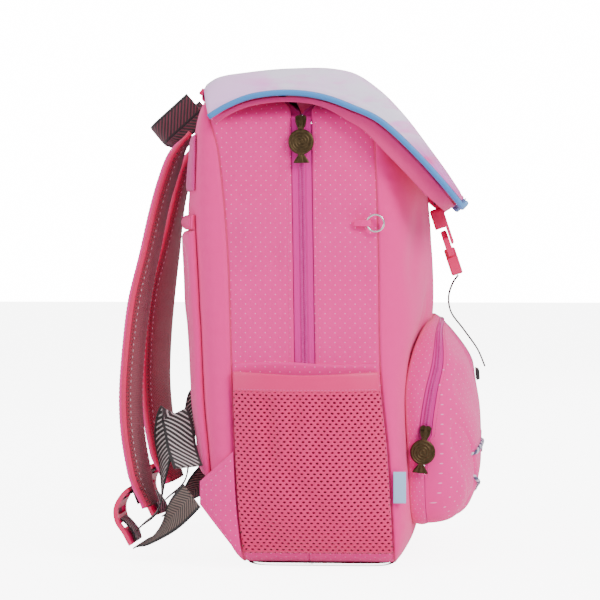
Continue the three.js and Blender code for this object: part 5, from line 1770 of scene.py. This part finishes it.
antique_brass = metal_material("antique_brass", rgb(100, 82, 58), rgb(44, 35, 25), 0.42, 420.0, 0.00006)
for node, body in (
    ("main_left_slider", "slider_left"), ("main_right_slider", "slider_right"),
    ("pocket_slider", "pocket_slider")
):
    moulded(node, body, f"cast_{node}", antique_brass, 0.00025)

# Each pull is cast as a wrapped sweet: a disc with a raised rim and a spiral, between two pleated fans.
PULL_LENGTH = 35
DISC_RADIUS = 10.5
joints = {joint["name"]: joint for joint in frame["joints"]}


def pull_frame(pull_joint, slider_joint):
    """A pull's own axes: up the zip, across it and out of the bag, from its hinge and its slider's travel."""
    joint = joints[pull_joint]
    up = unit(-np.array(joints[slider_joint]["axis"], float) * (1 if "main" in pull_joint else -1))
    right = unit(-np.array(joint["axis"], float))
    right = unit(right - up * (right @ up))
    return np.array(joint["pos_m"], float) * 1000, np.stack([right, up, np.cross(right, up)])


def pull_outline():
    """Half the pull's width at each place down its length: a fan, a neck, the disc, a neck and a wider fan."""
    down = np.linspace(1, 1 - PULL_LENGTH, 141)
    middle = 1 - PULL_LENGTH / 2
    disc = np.sqrt(np.clip(DISC_RADIUS ** 2 - (down - middle) ** 2, 0, None))
    upper = 2.2 + (4.6 - 2.2) * smooth(down, middle + DISC_RADIUS - 1.5, 1)
    lower = 2.2 + (6.4 - 2.2) * smooth(-down, -(middle - DISC_RADIUS + 1.5), PULL_LENGTH - 1)
    fan = np.where(down > middle, upper, lower)
    return down, np.maximum(disc, fan)


def pull_relief(x, y):
    """The raised pattern: a rim and a three-turn spiral on the disc, and pleats on the fans."""
    middle = 1 - PULL_LENGTH / 2
    radius = np.hypot(x, y - middle)
    angle = np.arctan2(y - middle, x)
    rim = np.exp(-(((radius - 9.3) / 0.75) ** 2))
    winding = (radius / 2.35 - angle / (2 * np.pi)) % 1.0
    spiral = np.exp(-(((winding - 0.5) / 0.2) ** 2)) * (1 - smooth(radius, 7.4, 8.0))
    pleat_angle = np.arctan2(x, np.abs(y - middle) - 6.0)
    pleats = 0.5 + 0.5 * np.cos(pleat_angle * 15)
    on_fan = smooth(radius, 10.5, 11.2)
    return 0.75 * np.maximum(rim, spiral) + 0.55 * pleats * on_fan


def sweet_pull(name, origin, axes):
    """The pull's plate: a grid across its width and down its length, whose front carries the relief."""
    down, half = pull_outline()
    across = np.sin(np.linspace(-np.pi / 2, np.pi / 2, 61))
    x = across[None] * half[:, None]
    y = np.broadcast_to(down[:, None], x.shape)
    rounded = np.sqrt(np.clip(1 - np.abs(across[None]) ** 8, 0, 1))
    front = 0.35 + 0.45 * rounded + pull_relief(x, y) * rounded * 0.8
    back = -0.35 - 0.4 * rounded + 0 * x
    local = [np.stack([x, y, depth], -1) for depth in (front, back)]
    outer, inner = (origin + side @ axes for side in local)
    return shell(name, outer, inner, np.stack([x, y], -1) * 0.001, antique_brass)


for pull, body, pull_joint, slider_joint in (
    ("main_left_pull", "pull_left", "main_pull_left_swing", "main_slider_left_travel"),
    ("main_right_pull", "pull_right", "main_pull_right_swing", "main_slider_right_travel"),
    ("pocket_pull", "pocket_pull", "pocket_pull_swing", "pocket_slider_travel"),
):
    origin, axes = pull_frame(pull_joint, slider_joint)
    piece = sweet_pull(f"sweet_{pull}", origin, axes)
    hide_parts(pull)
    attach(piece, body)


# ---------------------------------------------------------------- shoulder straps
# Curved foam straps: smooth pink polyester outside, crimson spacer net inside, bound along both edges with folded
# tape and stitched. Each ends in webbing that is laced through a plastic adjuster and back to the bag's wing.
STRAP_LINE = [
    [46, 109.5, 361], [48, 115.5, 353], [51, 122.5, 340], [54, 129, 321], [58, 134.5, 300], [65, 142, 262],
    [72, 150, 222], [78, 154.5, 182], [83, 156.5, 142], [86, 155, 112], [87, 151.5, 88], [88, 146, 64], [88, 139.5, 46],
]
STRAP_WIDTH = 60
STRAP_THICKNESS = 12
STRAP_TWIST = {"left": -4, "right": 14}
strap_outer_cloth = cloth_material(
    "strap_outer", rgb(255, 0, 152), rgb(238, 0, 130), pitch=0.0005, sheen=0.3
)
# The strap net's second colour is painted shade for its holes.
strap_net = net_material("strap_inner_net", rgb(160, 0, 52), rgb(84, 0, 24), 0.0032, 0.2)
strap_edge = ribbed_cloth("strap_edge_tape", rgb(232, 8, 98), rgb(198, 4, 76), 0.0012, 0.00008)


def strap_section(path, heading, label, sign, share):
    """Directions across and out of a strap at each share of the way down: it twists a little below its top."""
    twist = -sign * math.radians(STRAP_TWIST[label]) * smooth(share, 0.15, 0.5)
    across = np.stack([np.cos(twist), np.sin(twist), 0 * twist], -1)
    across = unit(across - heading * np.sum(across * heading, -1, keepdims=True))
    return across, unit(np.cross(across, heading))


def strap_sizes(share):
    """A strap's half width and half thickness at each share of the way down."""
    taper = (0.62 + 0.38 * smooth(share, 0, 0.1)) * (1 - 0.45 * smooth(share, 0.9, 1))
    return STRAP_WIDTH / 2 * taper, STRAP_THICKNESS / 2 * (0.35 + 0.65 * smooth(share, 0, 0.08))


def strap_face(line, across, out, share, place, side, ease=0.0):
    """A grid on one face of a strap: side is 1 outside and -1 inside, place runs over its width, and the face is
    a superellipse that thins to its bound edges. Slow ripples keep the foam from looking machined."""
    half, thick = strap_sizes(share)
    crown = 0.3 + 0.7 * dome(place, 3)
    wave = 0.5 * ripple(share[:, None] * 340, place[None] * 30, 81, 110, 40) * dome(place, 3)
    lift = side * (thick[:, None] * crown[None] - ease) + (wave if side > 0 else -wave * 0.5)
    return line[:, None] + across[:, None] * (place[None] * half[:, None])[..., None] + out[:, None] * lift[..., None]


for label, sign in (("left", -1), ("right", 1)):
    run = spline([(sign * x, y, z) for x, y, z in STRAP_LINE], even=False)
    share = np.linspace(0, 1, 161)
    line, heading = along(run, share)
    across, out = strap_section(line, heading, label, sign, share)
    out = out * np.sign(out[80, 1])
    place = np.sin(np.linspace(-np.pi / 2, np.pi / 2, 41)) * 0.985
    half, _ = strap_sizes(share)
    cloth = np.stack(np.broadcast_arrays(place[None] * half[:, None], share[:, None] * 340), -1) * 0.001
    core = line[:, None] + across[:, None] * (place[None] * half[:, None])[..., None]
    outer_half = shell(
        f"strap_outer_{label}", strap_face(line, across, out, share, place, 1), core, cloth,
        strap_outer_cloth
    )
    inner_half = shell(
        f"strap_inner_{label}", core, strap_face(line, across, out, share, place, -1), cloth, strap_net
    )
    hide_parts(f"shoulder_strap_{label}")
    pieces = [outer_half, inner_half]
    for edge_label, edge_side in (("a", -1), ("b", 1)):
        rim = line + across * (edge_side * (half - 1.1))[:, None]
        pieces.append(
            round_bar(
                f"strap_edge_{edge_label}_{label}", rim, 2.1 - 0.4 * smooth(share, 0.9, 1), strap_edge,
                sides=10
            )
        )
    runs_out, runs_in = [], []
    for row in (-0.84, 0.84):
        row_place = np.array([row])
        on_outer = strap_face(line, across, out, share, row_place, 1)[:, 0]
        on_inner = strap_face(line, across, out, share, row_place, -1)[:, 0]
        runs_out.append(stitch_path(on_outer[6:-6], out[6:-6], 3.6))
        runs_in.append(stitch_path(on_inner[6:-6], -out[6:-6], 5.2))
    pieces.append(lozenges(
        f"strap_topstitching_{label}", *(
            np.concatenate(part) for part in zip(*runs_out)
        ), (2.4, 0.5, 0.35), thread_pink
    ))
    pieces.append(lozenges(
        f"strap_net_stitching_{label}", *(
            np.concatenate(part) for part in zip(*runs_in)
        ), (2.2, 0.6, 0.4), thread_white
    ))
    strip_share = np.linspace(0.8, 0.985, 60)
    strip_line, strip_heading = along(run, strip_share)
    strip_across, strip_out = strap_section(strip_line, strip_heading, label, sign, strip_share)
    strip_out = strip_out * np.sign(strip_out[30, 1])
    _, strip_thick = strap_sizes(strip_share)
    strip = strip_line + strip_out * (strip_thick + 0.9)[:, None]
    black_strip = ribbon(f"strap_end_webbing_{label}", strip, strip_across, 25, brown_webbing)
    pieces.append(black_strip)
    for piece in pieces:
        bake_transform(piece)

striped_webbing = webbing_material(
    "striped_strap_webbing", rgb(34, 26, 28), rgb(206, 196, 196), rgb(20, 16, 18), 0.0048, 1.0, rib_share=0.45
)


def turning_ribbon(name, points, start_way, end_way, material):
    """Webbing through points, its width turning softly from one direction to another."""
    path, _ = along(spline(points, even=False), np.linspace(0, 1, 110))
    share = smooth(np.linspace(0, 1, 110), 0, 1)[:, None]
    way = np.array(start_way) * (1 - share) + np.array(end_way) * share
    return ribbon(name, path, way, 25, material, thickness=1.5)


for label, sign in (("left", -1), ("right", 1)):
    lower = [
        (sign * x, y, z) for x, y,
        z in ((88, 147, 13), (95, 138, 18), (110, 123, 33), (126, 107, 51), (134.5, 99, 60))
    ]
    strap = turning_ribbon(f"lower_webbing_{label}", lower, (1, 0, 0), (0, 0.35, 0.9), brown_webbing)
    tail_points = (
        (90, 147, 28), (98, 131, 44), (101, 127, 72), (105, 124, 108), (109, 117, 126), (114, 113, 118),
        (124, 108, 98), (137, 101.5, 84),
    )
    tail = turning_ribbon(
        f"webbing_tail_{label}", [
            (sign * x, y, z) for x, y, z in tail_points
        ], (1, 0, 0), (sign * 0.2, 0.9, 0.1), striped_webbing
    )
    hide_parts(f"strap_webbing_{label}")
    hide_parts(f"strap_tail_{label}")
    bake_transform(strap)
    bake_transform(tail)
    # The webbing's lacing through the adjuster: in over the middle bar and back out below it.
    joint = joints[f"adjuster_{label}_tilt"]
    middle = np.array([sign * 88, 157.5, 37.0])
    twist = -sign * math.radians(STRAP_TWIST[label])
    right_way = np.array([math.cos(twist), math.sin(twist), 0])
    back_way = np.array([-math.sin(twist), math.cos(twist), 0])
    lace_points = [
        (-6, 21), (1, 19), (7.5, 13), (9.5, 6), (8.6, 0), (3, -3.5), (-1.5, -8), (-6, -14), (-8, -21)
    ]
    lace = [middle + back_way * y + np.array([0, 0, z]) for y, z in lace_points]
    lacing, _ = along(spline(lace, even=False), np.linspace(0, 1, 70))
    laced = ribbon(f"adjuster_lacing_{label}", lacing, right_way, 24, striped_webbing, thickness=1.4)
    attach(laced, f"adjuster_{label}")


# ---------------------------------------------------------------- inside and base
# A hanging divider of lining cloth makes a sleeve behind the main compartment. Plastic boards stiffen the back and
# the base, and a patch of tough ribbed cloth protects the underside.
lining_cloth = cloth_material("divider_lining", rgb(168, 150, 166), rgb(146, 128, 146), pitch=0.0006)
across, up = np.meshgrid(np.linspace(-112, 112, 60), np.linspace(9, 300, 80), indexing="ij")
sway = 0.5 * ripple(across, up, 91, 120, 50)
roll = 0.8 * np.exp(-(((up - 297.5) / 2.2) ** 2))
divider_cloth = np.stack([across, up], -1) * 0.001
divider = shell(
    "sleeve_divider", np.stack(
        [across, 41.2 + sway - roll, up], -1
    ), np.stack([across, 42.2 + sway + roll, up], -1),
    divider_cloth, lining_cloth,
)
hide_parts("inner_divider")
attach(divider, "bag")

board_plastic = moulded_plastic("stiffener_board", rgb(150, 142, 150), rgb(128, 120, 130), 0.5)
moulded("base_board", "bag", "stiff_base_board", board_plastic, 0.0006)
moulded("back_board", "bag", "stiff_back_board", board_plastic, 0.0004)

base_low, base_high = (np.array(corner) * 1000 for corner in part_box("base_panel"))
turn, share = np.meshgrid(np.linspace(0, 2 * np.pi, 161), np.linspace(0, 1, 24) ** 0.7, indexing="ij")
reach = share / (np.abs(np.cos(turn)) ** 9 + np.abs(np.sin(turn)) ** 9) ** (1 / 9)
base_x = (base_low[0] + base_high[0]) / 2 + reach * np.cos(turn) * (base_high[0] - base_low[0]) / 2
base_y = (base_low[1] + base_high[1]) / 2 + reach * np.sin(turn) * (base_high[1] - base_low[1]) / 2
edge_round = 1.2 * (1 - np.sqrt(1 - np.clip((share - 0.95) / 0.05, 0, 1) ** 2))
base_cloth = np.stack([base_x, base_y], -1) * 0.001
base_ribbed = ribbed_cloth("base_cloth", rgb(214, 24, 108), rgb(186, 14, 88), 0.0016, 0.0002, slope=1.0)
base_patch = shell(
    "base_patch", np.stack([base_x, base_y, base_low[2] + edge_round], -1),
    np.stack([base_x, base_y, base_high[2] - 0.05 + 0 * share], -1), base_cloth, base_ribbed, ring=True,
)
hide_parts("base_panel")
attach(base_patch, "bag")
